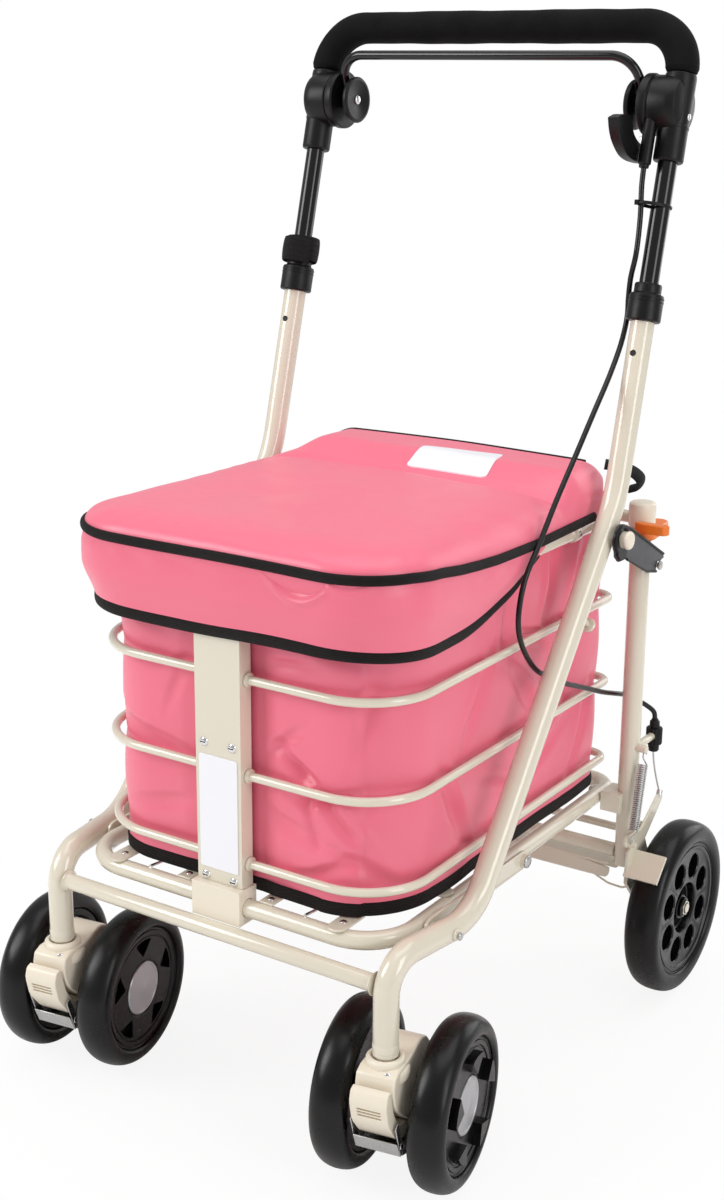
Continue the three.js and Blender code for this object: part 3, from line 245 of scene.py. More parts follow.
tone_drift, drift_in, drift_out = group_with(
    "tone drift",
    [("Vector", "v", None), ("Scale", "f", 6.0), ("Light", "c", WHITE), ("Dark", "c", (0.8, 0.8, 0.8, 1))],
    [("Color", "c")],
)
cloud = add(tone_drift, "TexNoise", Detail=3.0)
blend_tone = add(tone_drift, "Mix")
blend_tone.data_type = "RGBA"
link(tone_drift, (drift_in, "Vector", cloud, "Vector"), (drift_in, "Scale", cloud, "Scale"),
     (cloud, "Fac", blend_tone, "Factor"), (drift_in, "Dark", blend_tone, "A"),
     (drift_in, "Light", blend_tone, "B"), (blend_tone, "Result", drift_out, "Color"))

fine_grain, grain_in, grain_out = group_with(
    "fine grain",
    [("Vector", "v", None), ("Scale", "f", 800.0), ("Wave Scale", "f", 40.0), ("Wave Share", "f", 0.3)],
    [("Height", "f")],
)
speck = add(fine_grain, "TexNoise", Detail=2.0)
swell = add(fine_grain, "TexNoise", Detail=1.0)
level = add(fine_grain, "Mix")
level.data_type = "FLOAT"
link(fine_grain, (grain_in, "Vector", speck, "Vector"), (grain_in, "Scale", speck, "Scale"),
     (grain_in, "Vector", swell, "Vector"), (grain_in, "Wave Scale", swell, "Scale"),
     (grain_in, "Wave Share", level, "Factor"), (speck, "Fac", level, "A"), (swell, "Fac", level, "B"),
     (level, "Result", grain_out, "Height"))

scuffs, scuff_in, scuff_out = group_with(
    "scuffs",
    [("Vector", "v", None), ("Scale", "f", 25.0), ("Clean", "f", 0.3), ("Worn", "f", 0.5)],
    [("Roughness", "f")],
)
patch = add(scuffs, "TexNoise", Detail=5.0, Roughness=0.65)
spread = add(scuffs, "MapRange", From_Min=0.45, From_Max=0.72)
link(scuffs, (scuff_in, "Vector", patch, "Vector"), (scuff_in, "Scale", patch, "Scale"),
     (patch, "Fac", spread, "Value"), (scuff_in, "Clean", spread, "To Min"),
     (scuff_in, "Worn", spread, "To Max"), (spread, "Result", scuff_out, "Roughness"))

woven, woven_in, woven_out = group_with(
    "woven threads", [("Vector", "v", None), ("Threads", "f", 900.0)], [("Height", "f")]
)
TWILL_SHARE = 0.6
bands = {}
for direction in ("X", "Y", "DIAGONAL"):
    band = bands[direction] = add(woven, "TexWave")
    band.bands_direction = direction
    link(woven, (woven_in, "Vector", band, "Vector"), (woven_in, "Threads", band, "Scale"))
over = add(woven, "Math")
over.operation = "MAXIMUM"
twill = add(woven, "Math")
twill.operation = "MULTIPLY_ADD"
twill.inputs[1].default_value = TWILL_SHARE
link(woven, (bands["X"], "Fac", over, 0), (bands["Y"], "Fac", over, 1),
     (bands["DIAGONAL"], "Fac", twill, 0), (over, "Value", twill, 2), (twill, "Value", woven_out, "Height"))
print("shared effects:", [g.name for g in bpy.data.node_groups])

# %% [markdown]
# One function now lays out a whole finish. It takes the colour as it is seen, lets it
# drift a little between two tones, dulls the gloss in worn patches, and adds the grain or
# the threads as a bump. Eighteen separate graphs would do the same, but a slip in one would
# be hard to find, and metals, paints, plastics and cloth differ only in the numbers.


# %% Finishes
def seen_colour(code, share=1.0):
    """A colour written as #RRGGBB, in linear light, times a share."""
    raw = np.array([int(code[i : i + 2], 16) for i in (1, 3, 5)]) / 255.0
    linear = np.where(raw <= 0.04045, raw / 12.92, ((raw + 0.055) / 1.055) ** 2.4)
    return (*np.clip(linear * share, 0.0, 1.0).tolist(), 1.0)


def finish(name, code, clean, worn, metallic=0.0, coat=0.0, dark=0.9, drift_scale=7.0, scuff_scale=22.0,
           grain=900.0, swell_scale=35.0, swell_share=0.35, depth=0.00006, threads=None, sheen=0.0,
           anisotropic=0.0, specular=0.5):
    """A Principled material whose colour, roughness and bump come from the shared groups."""
    material = bpy.data.materials.new(name)
    material.use_nodes = True
    graph = material.node_tree
    shader = graph.nodes["Principled BSDF"]
    place = add(graph, "TexCoord")
    tone = add(graph, "Group", tone_drift, Scale=drift_scale, Light=seen_colour(code),
               Dark=seen_colour(code, dark))
    dull = add(graph, "Group", scuffs, Scale=scuff_scale, Clean=clean, Worn=worn)
    if threads:
        rough = add(graph, "Group", woven, Threads=threads)
    else:
        rough = add(graph, "Group", fine_grain, Scale=grain, Wave_Scale=swell_scale, Wave_Share=swell_share)
    bump = add(graph, "Bump", Distance=depth)
    link(graph, (place, "Object", tone, "Vector"), (place, "Object", dull, "Vector"),
         (place, "UV" if threads else "Object", rough, "Vector"), (rough, "Height", bump, "Height"),
         (bump, "Normal", shader, "Normal"), (tone, "Color", shader, "Base Color"),
         (dull, "Roughness", shader, "Roughness"))
    for label, value in (("Metallic", metallic), ("Coat Weight", coat), ("Coat Roughness", 0.08),
                         ("Sheen Weight", sheen), ("Anisotropic", anisotropic),
                         ("Specular IOR Level", specular)):
        shader.inputs[label].default_value = value
    return material


beige_enamel = finish("beige enamel", "#DDD5C2", 0.22, 0.27, coat=0.8, dark=0.94, depth=0.00005,
                      swell_share=0.7)
cream_plastic = finish("cream plastic", "#EBE1CE", 0.34, 0.46, coat=0.2, dark=0.93, depth=0.00008)
black_enamel = finish("black enamel", "#060607", 0.16, 0.26, coat=0.3, dark=0.75, depth=0.00003, specular=0.3)
black_plastic = finish("black plastic", "#090909", 0.36, 0.48, dark=0.8, specular=0.28, grain=1600.0,
                       swell_share=0.1, depth=0.0001)
grip_foam = finish("grip foam", "#0B0B0C", 0.8, 0.95, dark=0.75, grain=2600.0, swell_scale=300.0,
                   swell_share=0.4, depth=0.0004, specular=0.15)
tread_rubber = finish("tread rubber", "#060607", 0.27, 0.4, dark=0.75, grain=700.0, depth=0.00005,
                      specular=0.3)
rim_plastic = finish("rim plastic", "#060607", 0.22, 0.34, coat=0.1, dark=0.8, depth=0.00005, specular=0.32)
zinc_steel = finish("zinc plated steel", "#C9C8C6", 0.26, 0.42, metallic=1.0, dark=0.82, scuff_scale=60.0,
                    depth=0.00004)
bright_chrome = finish("bright chrome", "#E4E4E6", 0.08, 0.2, metallic=1.0, scuff_scale=60.0, depth=0.00002)
grey_plate = finish("grey plate", "#3B3C40", 0.28, 0.42, metallic=0.3, dark=0.85)
orange_plastic = finish("orange plastic", "#F0781C", 0.36, 0.5, coat=0.1)
pink_cloth = finish("pink coated cloth", "#EF7189", 0.33, 0.45, dark=0.92, drift_scale=5.0, scuff_scale=12.0,
                    grain=1400.0, swell_scale=28.0, swell_share=0.5, depth=0.0002, sheen=0.05)
black_tape = finish("black woven tape", "#150E0D", 0.72, 0.88, dark=0.8, threads=500.0, depth=0.0006,
                    sheen=0.05, specular=0.2)
black_web = finish("black webbing", "#0F0D0E", 0.7, 0.85, dark=0.8, threads=420.0, depth=0.0006, sheen=0.05,
                   specular=0.2)
cable_skin = finish("cable skin", "#0B0B0C", 0.26, 0.38, dark=0.8, depth=0.00004, specular=0.4)
white_plate = finish("white plate", "#EFEFF4", 0.3, 0.42, coat=0.2, dark=0.97)
hub_cap_metal = finish("spun grey cap", "#BDBDC0", 0.3, 0.42, metallic=0.6, dark=0.8, drift_scale=30.0,
                       anisotropic=0.6)
# A near-black finish that paints the shade inside holes and slots.
painted_shade_pocket = finish("painted shade pocket", "#0B0B0C", 0.6, 0.8, dark=0.8)
print("finishes:", len(bpy.data.materials))

# %% [markdown]
# Every new surface is a table of points: rows run one way, columns the other, and four
# neighbours make a face. A tube is a circle carried along a line, a wheel is a profile
# turned round an axle, a plate is an outline given a thickness. Lines are straight runs
# with arcs at the corners, or a smooth spline through chosen points. Blender's own curves
# and Screw modifier could make many of these shapes. Formulas are used because one size can
# then vary along a surface, and every face gets its place in the UV map as it is made.


# %% Surface helpers
def running(line):
    """The length from the start of a line to each of its points."""
    return np.concatenate([[0], np.cumsum(np.linalg.norm(np.diff(line, axis=0), axis=1))])


def grid(rows, cols, wrap_rows=False, wrap_cols=False):
    """Faces between neighbours in a rows by cols table, with wrapping where a side closes."""
    i, j = np.meshgrid(np.arange(rows if wrap_rows else rows - 1), np.arange(cols if wrap_cols else cols - 1),
                       indexing="ij")
    i2, j2 = (i + 1) % rows, (j + 1) % cols
    return np.stack([i * cols + j, i * cols + j2, i2 * cols + j2, i2 * cols + j], axis=-1).reshape(-1, 4)


def grid_uv(along, across, wrap_rows=False, wrap_cols=False):
    """The (along, across) places of each face's corners; the closing step keeps counting up."""
    a = np.append(along, 2 * along[-1] - along[-2]) if wrap_rows else np.asarray(along)
    b = np.append(across, 2 * across[-1] - across[-2]) if wrap_cols else np.asarray(across)
    i, j = np.meshgrid(np.arange(len(a) - 1), np.arange(len(b) - 1), indexing="ij")
    corners = [np.stack([a[i + di], b[j + dj]], axis=-1) for di, dj in ((0, 0), (0, 1), (1, 1), (1, 0))]
    return np.stack(corners, axis=-2).reshape(-1, 4, 2)


def wrapped(table, along, across, closed=False):
    """A table whose rows are rings, as one surface: closed on itself, or with a cap at each end."""
    rows, cols = table.shape[:2]
    faces, uv = [grid(rows, cols, closed, True)], [grid_uv(along, across, closed, True)]
    if not closed:
        faces += [np.arange(cols)[None], (np.arange(cols) + (rows - 1) * cols)[None]]
        uv += [np.zeros((1, cols, 2))] * 2
    return table.reshape(-1, 3), faces, uv


def bends(corners, radii, steps=14):
    """Straight runs between corners, each inner corner replaced by an arc of its radius.

    The arc's centre lies on the corner's half-angle line, at radius over sine of half the
    angle, and its points turn evenly from one tangent point to the other.
    """
    c = np.asarray(corners, dtype=float)
    runs = [c[:1]]
    for k, radius in enumerate(radii, start=1):
        a, b = unit(c[k - 1] - c[k]), unit(c[k + 1] - c[k])
        half = math.acos(float(np.clip(a @ b, -1, 1))) / 2
        middle = c[k] + unit(a + b) * radius / math.sin(half)
        first = c[k] + a * radius / math.tan(half) - middle
        last = c[k] + b * radius / math.tan(half) - middle
        whole = math.pi - 2 * half
        t = np.linspace(0, 1, steps + 1)[:, None]
        runs.append(middle + (np.sin((1 - t) * whole) * first + np.sin(t * whole) * last) / math.sin(whole))
    runs.append(c[-1:])
    return np.vstack(runs)


def spaced(path, step):
    """The same line with points at most one step apart, placed evenly by its running length."""
    p = np.asarray(path, dtype=float)
    run = running(p)
    places = np.unique(np.concatenate([run, np.arange(0, run[-1], step)]))
    return np.stack([np.interp(places, run, p[:, k]) for k in range(3)], axis=1)


def sweep(path, radius, across, sides=32, closed=False, high=None):
    """A round or oval section carried along a path.

    At each point one direction is square to the path and to 'across', and the other is
    square to both. A point of the skin is the centre plus the radius times their cosine
    and sine mix, and 'high' is the radius in the second direction if it differs.
    """
    p = np.asarray(path, dtype=float)
    before = np.roll(p, 1, axis=0) if closed else np.vstack([2 * p[0] - p[1], p[:-1]])
    after = np.roll(p, -1, axis=0) if closed else np.vstack([p[1:], 2 * p[-1] - p[-2]])
    t = unit(unit(p - before) + unit(after - p))
    u = unit(np.cross(np.broadcast_to(np.asarray(across, dtype=float), t.shape), t))
    v = np.cross(t, u)
    wide = np.broadcast_to(np.asarray(radius, dtype=float), (len(p),))
    tall = wide if high is None else np.broadcast_to(np.asarray(high, dtype=float), (len(p),))
    angle = 2 * np.pi * np.arange(sides) / sides
    points = p[:, None] + wide[:, None, None] * np.cos(angle)[None, :, None] * u[:, None] \
        + tall[:, None, None] * np.sin(angle)[None, :, None] * v[:, None]
    around = np.arange(sides) / sides * 2 * np.pi * float(wide.mean()) * 0.001
    return wrapped(points, running(p) * 0.001, around, closed)


def turned(profile, origin, direction, segments=56, closed=False):
    """A profile of (radius, distance along) pairs turned round a line.

    Each point is the origin plus the distance along the line plus the radius times a
    direction that goes once round the line.
    """
    rows = np.asarray(profile, dtype=float)
    d = unit(np.asarray(direction, dtype=float))
    helper = np.array([0.0, 0.0, 1.0]) if abs(d[2]) < 0.9 else np.array([1.0, 0.0, 0.0])
    u = unit(np.cross(helper, d))
    v = np.cross(d, u)
    angle = 2 * np.pi * np.arange(segments) / segments
    around = np.cos(angle)[:, None] * u + np.sin(angle)[:, None] * v
    out, along = rows[:, 0][:, None, None], rows[:, 1][:, None, None]
    points = np.asarray(origin, dtype=float) + along * d + out * around[None]
    return wrapped(points, rows[:, 0] * 0.001, angle / (2 * np.pi), closed)


def rod(a, b, radius, rim=0.8, segments=40):
    """A cylinder between two points whose two rims are cut back by a small chamfer."""
    a, b = np.asarray(a, dtype=float), np.asarray(b, dtype=float)
    long = float(np.linalg.norm(b - a))
    rim = min(rim, radius * 0.4, long * 0.4)
    rows = [(radius - rim, 0), (radius - rim * 0.3, rim * 0.3), (radius, rim), (radius, long - rim),
            (radius - rim * 0.3, long - rim * 0.3), (radius - rim, long)]
    return turned(rows, a, b - a, segments)


def dome(base, direction, radius, rise, segments=28):
    """A rivet or screw head: a quarter ellipse turned round its axis, up to a small flat top."""
    t = np.linspace(0, 0.42 * np.pi, 7)
    rows = np.stack([radius * np.cos(t), rise * np.sin(t) / math.sin(0.42 * np.pi)], axis=1)
    rows = np.vstack([[radius, -0.4], rows])
    return turned(rows, base, direction, segments)


PLANES = {"yz": (1, 2, 0), "xz": (0, 2, 1), "xy": (0, 1, 2)}


def plate(outline, low, high, plane="yz"):
    """A flat outline in a named plane, given thickness from low to high along the third axis."""
    flat = np.asarray(outline, dtype=float)
    n = len(flat)
    a, b, c = PLANES[plane]
    points = np.zeros((2 * n, 3))
    points[:, a] = np.tile(flat[:, 0], 2)
    points[:, b] = np.tile(flat[:, 1], 2)
    points[:, c] = np.repeat([low, high], n)
    faces = [grid(2, n, False, True), np.arange(n)[None], (np.arange(n) + n)[None]]
    return points, faces, [np.zeros((n, 4, 2)), np.zeros((1, n, 2)), np.zeros((1, n, 2))]


def block(x0, x1, y0, y1, z0, z1):
    """A box between six limits."""
    return plate([(x0, y0), (x1, y0), (x1, y1), (x0, y1)], z0, z1, "xy")


def rounded_rectangle(half, y0, y1, radius, steps=10, rear=None):
    """A rectangle with quarter-circle corners, anticlockwise; the rear pair may differ."""
    t = np.linspace(0, np.pi / 2, steps + 1)
    rear = radius if rear is None else rear
    centres = [(half - radius, y0 + radius, -np.pi / 2, radius), (half - rear, y1 - rear, 0.0, rear),
               (rear - half, y1 - rear, np.pi / 2, rear), (radius - half, y0 + radius, np.pi, radius)]
    return np.vstack([np.stack([cx + r * np.cos(s + t), cy + r * np.sin(s + t)], axis=1)
                      for cx, cy, s, r in centres])


def even_outline(half, y0, y1, radius, count, rear=None):
    """A rounded rectangle in equal steps: its points, outward directions and running lengths."""
    dense = rounded_rectangle(half, y0, y1, radius, 24, rear)
    loop = np.vstack([dense, dense[:1]])
    run = running(loop)
    at = np.arange(count) * run[-1] / count
    p = np.stack([np.interp(at, run, loop[:, k]) for k in (0, 1)], axis=1)
    along = np.roll(p, -1, axis=0) - np.roll(p, 1, axis=0)
    return p, unit(np.stack([along[:, 1], -along[:, 0]], axis=1)), at


def slot_outline(a, b, radius, steps=12):
    """Two half circles round two centres, joined by straight sides."""
    along = math.atan2(b[1] - a[1], b[0] - a[0])
    t = np.linspace(0, np.pi, steps + 1)
    ends = []
    for centre, turn in ((b, -np.pi / 2), (a, np.pi / 2)):
        angle = along + turn + t
        ends.append(np.stack([centre[0] + radius * np.cos(angle), centre[1] + radius * np.sin(angle)],
                             axis=1))
    return np.vstack(ends)


def smoothed_outline(corners, share=0.3, rounds=2):
    """Chaikin's corner cutting: each corner of a closed outline gives way to two points.

    They lie a share in from the two ends of every side, and the cut is made in rounds.
    """
    p = np.asarray(corners, dtype=float)
    for _ in range(rounds):
        after = np.roll(p, -1, axis=0)
        pair = [p * (1 - share) + after * share, p * share + after * (1 - share)]
        p = np.stack(pair, axis=1).reshape(-1, 2)
    return p


def through(points, steps=8):
    """The centripetal Catmull-Rom spline through some points.

    Its knots are spaced by the square root of the distance, so it never loops at close
    points. Three rounds of straight mixing between the knots t0 to t3 give every span.
    """
    p = np.asarray(points, dtype=float)
    p = np.vstack([2 * p[0] - p[1], p, 2 * p[-1] - p[-2]])
    knots = np.concatenate([[0], np.cumsum(np.sqrt(np.linalg.norm(np.diff(p, axis=0), axis=1)))])
    spans = len(p) - 3
    t0, t1, t2, t3 = (knots[i : i + spans, None, None] for i in range(4))
    p0, p1, p2, p3 = (p[i : i + spans, None] for i in range(4))
    t = t1 + (t2 - t1) * (np.arange(steps) / steps)[None, :, None]
    a1 = (t1 - t) / (t1 - t0) * p0 + (t - t0) / (t1 - t0) * p1
    a2 = (t2 - t) / (t2 - t1) * p1 + (t - t1) / (t2 - t1) * p2
    a3 = (t3 - t) / (t3 - t2) * p2 + (t - t2) / (t3 - t2) * p3
    b1 = (t2 - t) / (t2 - t0) * a1 + (t - t0) / (t2 - t0) * a2
    b2 = (t3 - t) / (t3 - t1) * a2 + (t - t1) / (t3 - t1) * a3
    curve = (t2 - t) / (t2 - t1) * b1 + (t - t1) / (t2 - t1) * b2
    return np.vstack([curve.reshape(-1, p.shape[1]), p[-2:-1]])


# %% [markdown]
# A piece is one or more of these surfaces in one mesh, with a finish, a body to ride on
# and, where it stands for a frame piece, that piece's name. Edges of stamped and moulded
# parts are never razor sharp, so a small bevel catches the light along them. A plain frame
# piece keeps its own shape and gets that bevel, and holes are cut into a finished mesh.


# %% Piece builder
BODY_OF = {node: body for body, nodes in frame["record"]["behaviour"]["bodies"].items() for node in nodes}


def joined(parts):
    """Several surfaces as one list of points in metres, one of faces and one of UV corners."""
    points, faces, corners, start = [], [], [], 0
    for p, tables, uv in parts:
        points.append(p)
        faces += [row for table in tables for row in (table + start).tolist()]
        corners += [u.reshape(-1, 2) for u in uv]
        start += len(p)
    return metres(np.vstack(points)).tolist(), faces, np.vstack(corners)


def turn_outwards(mesh):
    """Turns the faces of every closed skin outwards."""
    work = bmesh.new()
    work.from_mesh(mesh)
    bmesh.ops.recalc_face_normals(work, faces=work.faces)
    work.to_mesh(mesh)
    work.free()


def soften(made, edge):
    """A narrow two-step bevel on every edge that turns more than 32 degrees."""
    bevel = made.modifiers.new("edge", "BEVEL")
    bevel.width = edge * 0.001
    bevel.segments = 2
    bevel.limit_method = "ANGLE"
    bevel.angle_limit = math.radians(32)


def hang(name, mesh, material, body, nodes, edge, angle):
    """Shades a mesh, hangs it on its body and hides the frame pieces that it replaces."""
    mesh.shade_smooth()
    mesh.set_sharp_from_angle(angle=math.radians(angle))
    mesh.materials.append(material)
    made = bpy.data.objects.new(name, mesh)
    scene.collection.objects.link(made)
    if edge:
        soften(made, edge)
    if body:
        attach(made, body)
    if nodes:
        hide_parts(*nodes)
    return made


def piece(name, parts, material, body, nodes=(), edge=0.0, angle=38.0):
    """Joins surfaces into one mesh and hangs it."""
    points, faces, corners = joined(parts)
    mesh = bpy.data.meshes.new(name)
    mesh.from_pydata(points, [], faces)
    mesh.uv_layers.new(name="UVMap").data.foreach_set("uv", corners.astype(np.float32).ravel())
    turn_outwards(mesh)
    return hang(name, mesh, material, body, nodes, edge, angle)


def refined(node, material, edge=0.5):
    """A frame piece's own mesh with its points merged, flat faces joined and edges softened."""
    mesh = frame["nodes"][node].data.copy()
    mesh.materials.clear()
    work = bmesh.new()
    work.from_mesh(mesh)
    bmesh.ops.remove_doubles(work, verts=work.verts, dist=2e-6)
    bmesh.ops.dissolve_limit(work, angle_limit=math.radians(1.5), verts=work.verts, edges=work.edges)
    work.to_mesh(mesh)
    work.free()
    hang(f"{node}_fine", mesh, material, BODY_OF[node], [node], edge, 32.0)


def carve(made, cutters):
    """Takes the cutters out of a piece by a boolean, and keeps only the finished mesh."""
    points, faces, _ = joined(cutters)
    tool_mesh = bpy.data.meshes.new("carving")
    tool_mesh.from_pydata(points, [], faces)
    turn_outwards(tool_mesh)
    tool = bpy.data.objects.new("carving", tool_mesh)
    scene.collection.objects.link(tool)
    cut = made.modifiers.new("carve", "BOOLEAN")
    cut.operation, cut.solver, cut.object = "DIFFERENCE", "EXACT", tool
    scene.view_layers[0].update()
    old = made.data
    made.data = bpy.data.meshes.new_from_object(made.evaluated_get(bpy.context.evaluated_depsgraph_get()))
    made.data.name = old.name
    made.modifiers.remove(cut)
    bpy.data.objects.remove(tool)
    bpy.data.meshes.remove(tool_mesh)
    bpy.data.meshes.remove(old)
    made.data.shade_smooth()
    made.data.set_sharp_from_angle(angle=math.radians(32))


# %% [markdown]
# Each side of the frame is one long steel tube: it stands on the caster, turns back into
# a low rail, rises past the seat and leans to the handle. Bending one tube is how the
# real frame is made, so one swept circle with three arcs follows it. Rivets and the lock
# stud are added where they sit on the tube, and the small height hole is a dark ring of
# painted shade on its face.

# %% Side tubes
RAIL_TOE = 17.0 / 106.5
LOWER_LEAN = unit(np.array([0.0, 245.4, 317.0]))
STUD_SQUARE = np.array([0.0, LOWER_LEAN[2], -LOWER_LEAN[1]])
HOLE_Z, CROSS_Z = 668.0, 197.0
for side, k in SIDES:
    corners = [(k * STEM_X, STEM_Y, 137), (k * STEM_X, STEM_Y, 219), (k * TUBE_X, -123.5, 219),
               (k * TUBE_X, 121.9, 536), (k * TUBE_X, lean(697), 697)]
    line = bends(corners, (30, 60, 110), 18)
    rivet_x = STEM_X + 72 * RAIL_TOE + TUBE_RADIUS
    stud_foot = np.array([k * TUBE_X, 121.9, 536]) - LOWER_LEAN * 112
    stud_tip = stud_foot + STUD_SQUARE * 32
    weld = stud_foot + STUD_SQUARE * 10.4
    parts = [
        sweep(spaced(line, 25), TUBE_RADIUS, (1, 0, 0), 40),
        turned([(8.2, -3), (8.6, 0), (8.6, 4.5), (11.4, 7), (11.4, 12), (11.05, 13.5)],
               (k * STEM_X, STEM_Y, 134), (0, 0, 1)),
        rod(stud_foot, stud_tip - STUD_SQUARE * 3, 3),
        turned([(3, 0), (6.2, 0.2), (7, 1), (7, 2.4), (6, 3.2)], stud_tip - STUD_SQUARE * 3, STUD_SQUARE),
        turned([(5.6, 0), (4.4, 0.8), (3.4, 2.6), (3, 4)], weld, STUD_SQUARE, 32),
        dome((k * (rivet_x - 0.2), -158, 219), (k, 0, 0), 5.2, 2.6),
    ]
    piece(f"side_tube_{side}_smooth", parts, beige_enamel, "main_frame", [f"side_tube_{side}"])
    square = unit(np.array([0.0, -1.0, 0.2589]))
    # The height hole is a dark ring just proud of the tube: painted shade standing for the dark inside of the
    # hole.
    hole_at = np.array([k * TUBE_X, lean(HOLE_Z), HOLE_Z]) + square * (TUBE_RADIUS - 0.45)
    hole = turned([(2.9, 0), (3.0, 0.4), (2.6, 0.62), (2.2, 0.5)], hole_at, square, 24)
    piece(f"height_hole_shades_{side}", [hole], painted_shade_pocket, "main_frame")
cross = rod((-168, STEM_Y, CROSS_Z), (168, STEM_Y, CROSS_Z), 7.5, 0.2)
piece("front_cross_smooth", [cross], beige_enamel, "main_frame", ["front_cross_tube"])
welds = [turned([(10.4, 0), (9, 0.7), (8, 2.2), (7.5, 3.6)], (k * 167.9, STEM_Y, CROSS_Z), (-k, 0, 0), 32)
         for _, k in SIDES]
piece("cross_welds", welds, beige_enamel, "main_frame")
for side, k in SIDES:
    refined(f"pivot_bar_{side}", beige_enamel, 0.6)
    bright = [dome((k * 182.2, 2, 218), (k, 0, 0), 6.2, 2.4),
              dome((k * 205.8, -158, 219), (k, 0, 0), 3.6, 1.4)]
    piece(f"pivot_rivets_{side}", bright, zinc_steel, "main_frame")

# %% [markdown]
# Basket: a low ring of thick rod, three wire rings above it, and flat strips and thin wires
# under the bag. The rings are rounded rectangles, with wide corners in front and tight ones
# behind. The upper three pass into the front bracket and hold the bag in shape from outside.
# One mesh could hold the whole basket, but each ring turns on its own pivot when the walker
# folds, so each is a piece of its own.

# %% Ring, wires and floor
ring_right = bends([(-3, -214, RING_Z), (165, -214, RING_Z), (165, 215, RING_Z), (-3, 215, RING_Z)],
                   (48, 24), 18)
ring_left = bends([(3, 215, RING_Z), (-165, 215, RING_Z), (-165, -214, RING_Z), (3, -214, RING_Z)],
                  (24, 48), 18)
ring_line = np.vstack([ring_right[1:-1], ring_left[1:-1]])
ring = sweep(ring_line, 8, (0, 0, 1), 36, closed=True)
piece("lower_ring_smooth", [ring], beige_enamel, "basket_ring", ["lower_ring"])
for name, z in (("upper", 424.0), ("middle", 338.0), ("lower", 257.0)):
    line = bends([(19.5, -209, z), (166.5, -209, z), (166.5, 193, z), (-161, 193, z), (-161, -209, z),
                  (-19.5, -209, z)], (62, 16, 16, 68), 16)
    collars = [turned([(4.1, 0), (6.2, 0.3), (6.6, 1.4), (6.2, 2.6), (4.1, 3.0)], (k * 24.1, -209, z),
                      (k, 0, 0), 32) for _, k in SIDES]
    piece(f"wire_{name}_smooth", [sweep(spaced(line, 30), 4, (0, 0, 1), 24)] + collars, beige_enamel,
          f"{name}_wire_ring", [f"wire_{name}"])
refined("basket_floor", beige_enamel, 0.4)
rivets = [dome((x, y, 228.2), (0, 0, 1), 3.2, 1.5, 20)
          for x in (-120, -45, 45, 120) for y in (-206, -110, -20, 207)]
piece("floor_rivets", rivets, zinc_steel, "basket_ring")
tabs = [plate(slot_outline((x, -214), (x, -188), 8.5), 226.1, 228.4, "xy") for x in (-120, 120)]
tabs += [plate(slot_outline((k * 160, y), (k * 128, y), 8.5), 226.1, 228.5, "xy")
         for k in (-1, 1) for y in (-110, -20)]
piece("floor_tabs", tabs, beige_enamel, "basket_ring", edge=0.4)
floor_wires = []
for x in (-85, -15, 15, 85):
    sag = bends([(x, -212, 226.9), (x, -196, 225.2), (x, 200, 225.2), (x, 212, 226.9)], (30, 30), 5)
    floor_wires.append(sweep(sag, 1.3, (1, 0, 0), 12))
piece("floor_wires", floor_wires, zinc_steel, "basket_ring")

# %% [markdown]
# Down the middle of the front runs a wide pressed bracket with a cream shoe at its foot.
# Four slotted screws and a bare plate sit on it, and each slot is a thin dark block of
# painted shade across its screw head. The bracket's edges are folded, so they are rounder
# than a cut plate's, and the bevel is wider here than on the flat bars. The bracket could
# be drawn again as a folded sheet, but the frame piece has its shape already.

# %% Front bracket
refined("front_bracket", beige_enamel, 1.2)
refined("bracket_shoe", cream_plastic, 1.6)
screws_at = [(x, z) for x in (-15, 15) for z in (364.0, 241.0)]
screw_heads = [dome((x, -219, z), (0, -1, 0), 4.2, 2.0) for x, z in screws_at]
piece("bracket_screws", screw_heads, bright_chrome, "front_support")
# The slots are thin dark blocks on the heads: painted shade where the recess of each slot would be dark.
screw_slots = [block(x - 2.6, x + 2.6, -221.25, -220.6, z - 0.45, z + 0.45) for x, z in screws_at]
piece("bracket_slot_shades", screw_slots, painted_shade_pocket, "front_support")
bare_plate = plate(rounded_rectangle(20.4, 249, 353, 2.0, 5), -219.9, -218.95, "xz")
piece("bracket_plate", [bare_plate], white_plate, "front_support", edge=0.25)

# %% [markdown]
# Under the lid runs the seat tube. It is open at the rear, where its ends carry short
# stubs that turn in the rear posts, and a boss with a screw sits on each of its sides. A
# curve with a round bevel would draw the same tube. The sweep is used because the stubs and
# the bosses then join it in one mesh.

# %% Seat frame
seat_line = bends([(166, 188, SEAT_Z), (166, -214, SEAT_Z), (-166, -214, SEAT_Z), (-166, 188, SEAT_Z)],
                  (60, 60), 16)
stubs = [rod((k * 163, 188, SEAT_Z), (k * 182.6, 188, SEAT_Z), 6) for _, k in SIDES]
boss_rows = [(7.2, 0), (8.6, 0.4), (8.8, 2), (8.8, 10), (8.6, 11.6), (7.2, 12)]
bosses = [turned(boss_rows, (k * 166, 92, SEAT_Z), (0, 1, 0), 36) for _, k in SIDES]
piece("seat_frame_smooth", [sweep(spaced(seat_line, 30), 7, (0, 0, 1), 32)] + stubs + bosses, beige_enamel,
      "seat_support", ["seat_frame"])
seat_screws = [dome((k * 174.6, 98, SEAT_Z), (k, 0, 0), 3.4, 1.6) for _, k in SIDES]
piece("seat_screws", seat_screws, zinc_steel, "seat_support")

# %% [markdown]
# The rear leg is a pair of posts with a folded channel and a round bar between them. The
# catches, axle plates and rear bracket are stamped or moulded, so their frame pieces
# already have the right outline and only need merged faces and soft edges. Each catch also
# gets a slab across the front of its post.

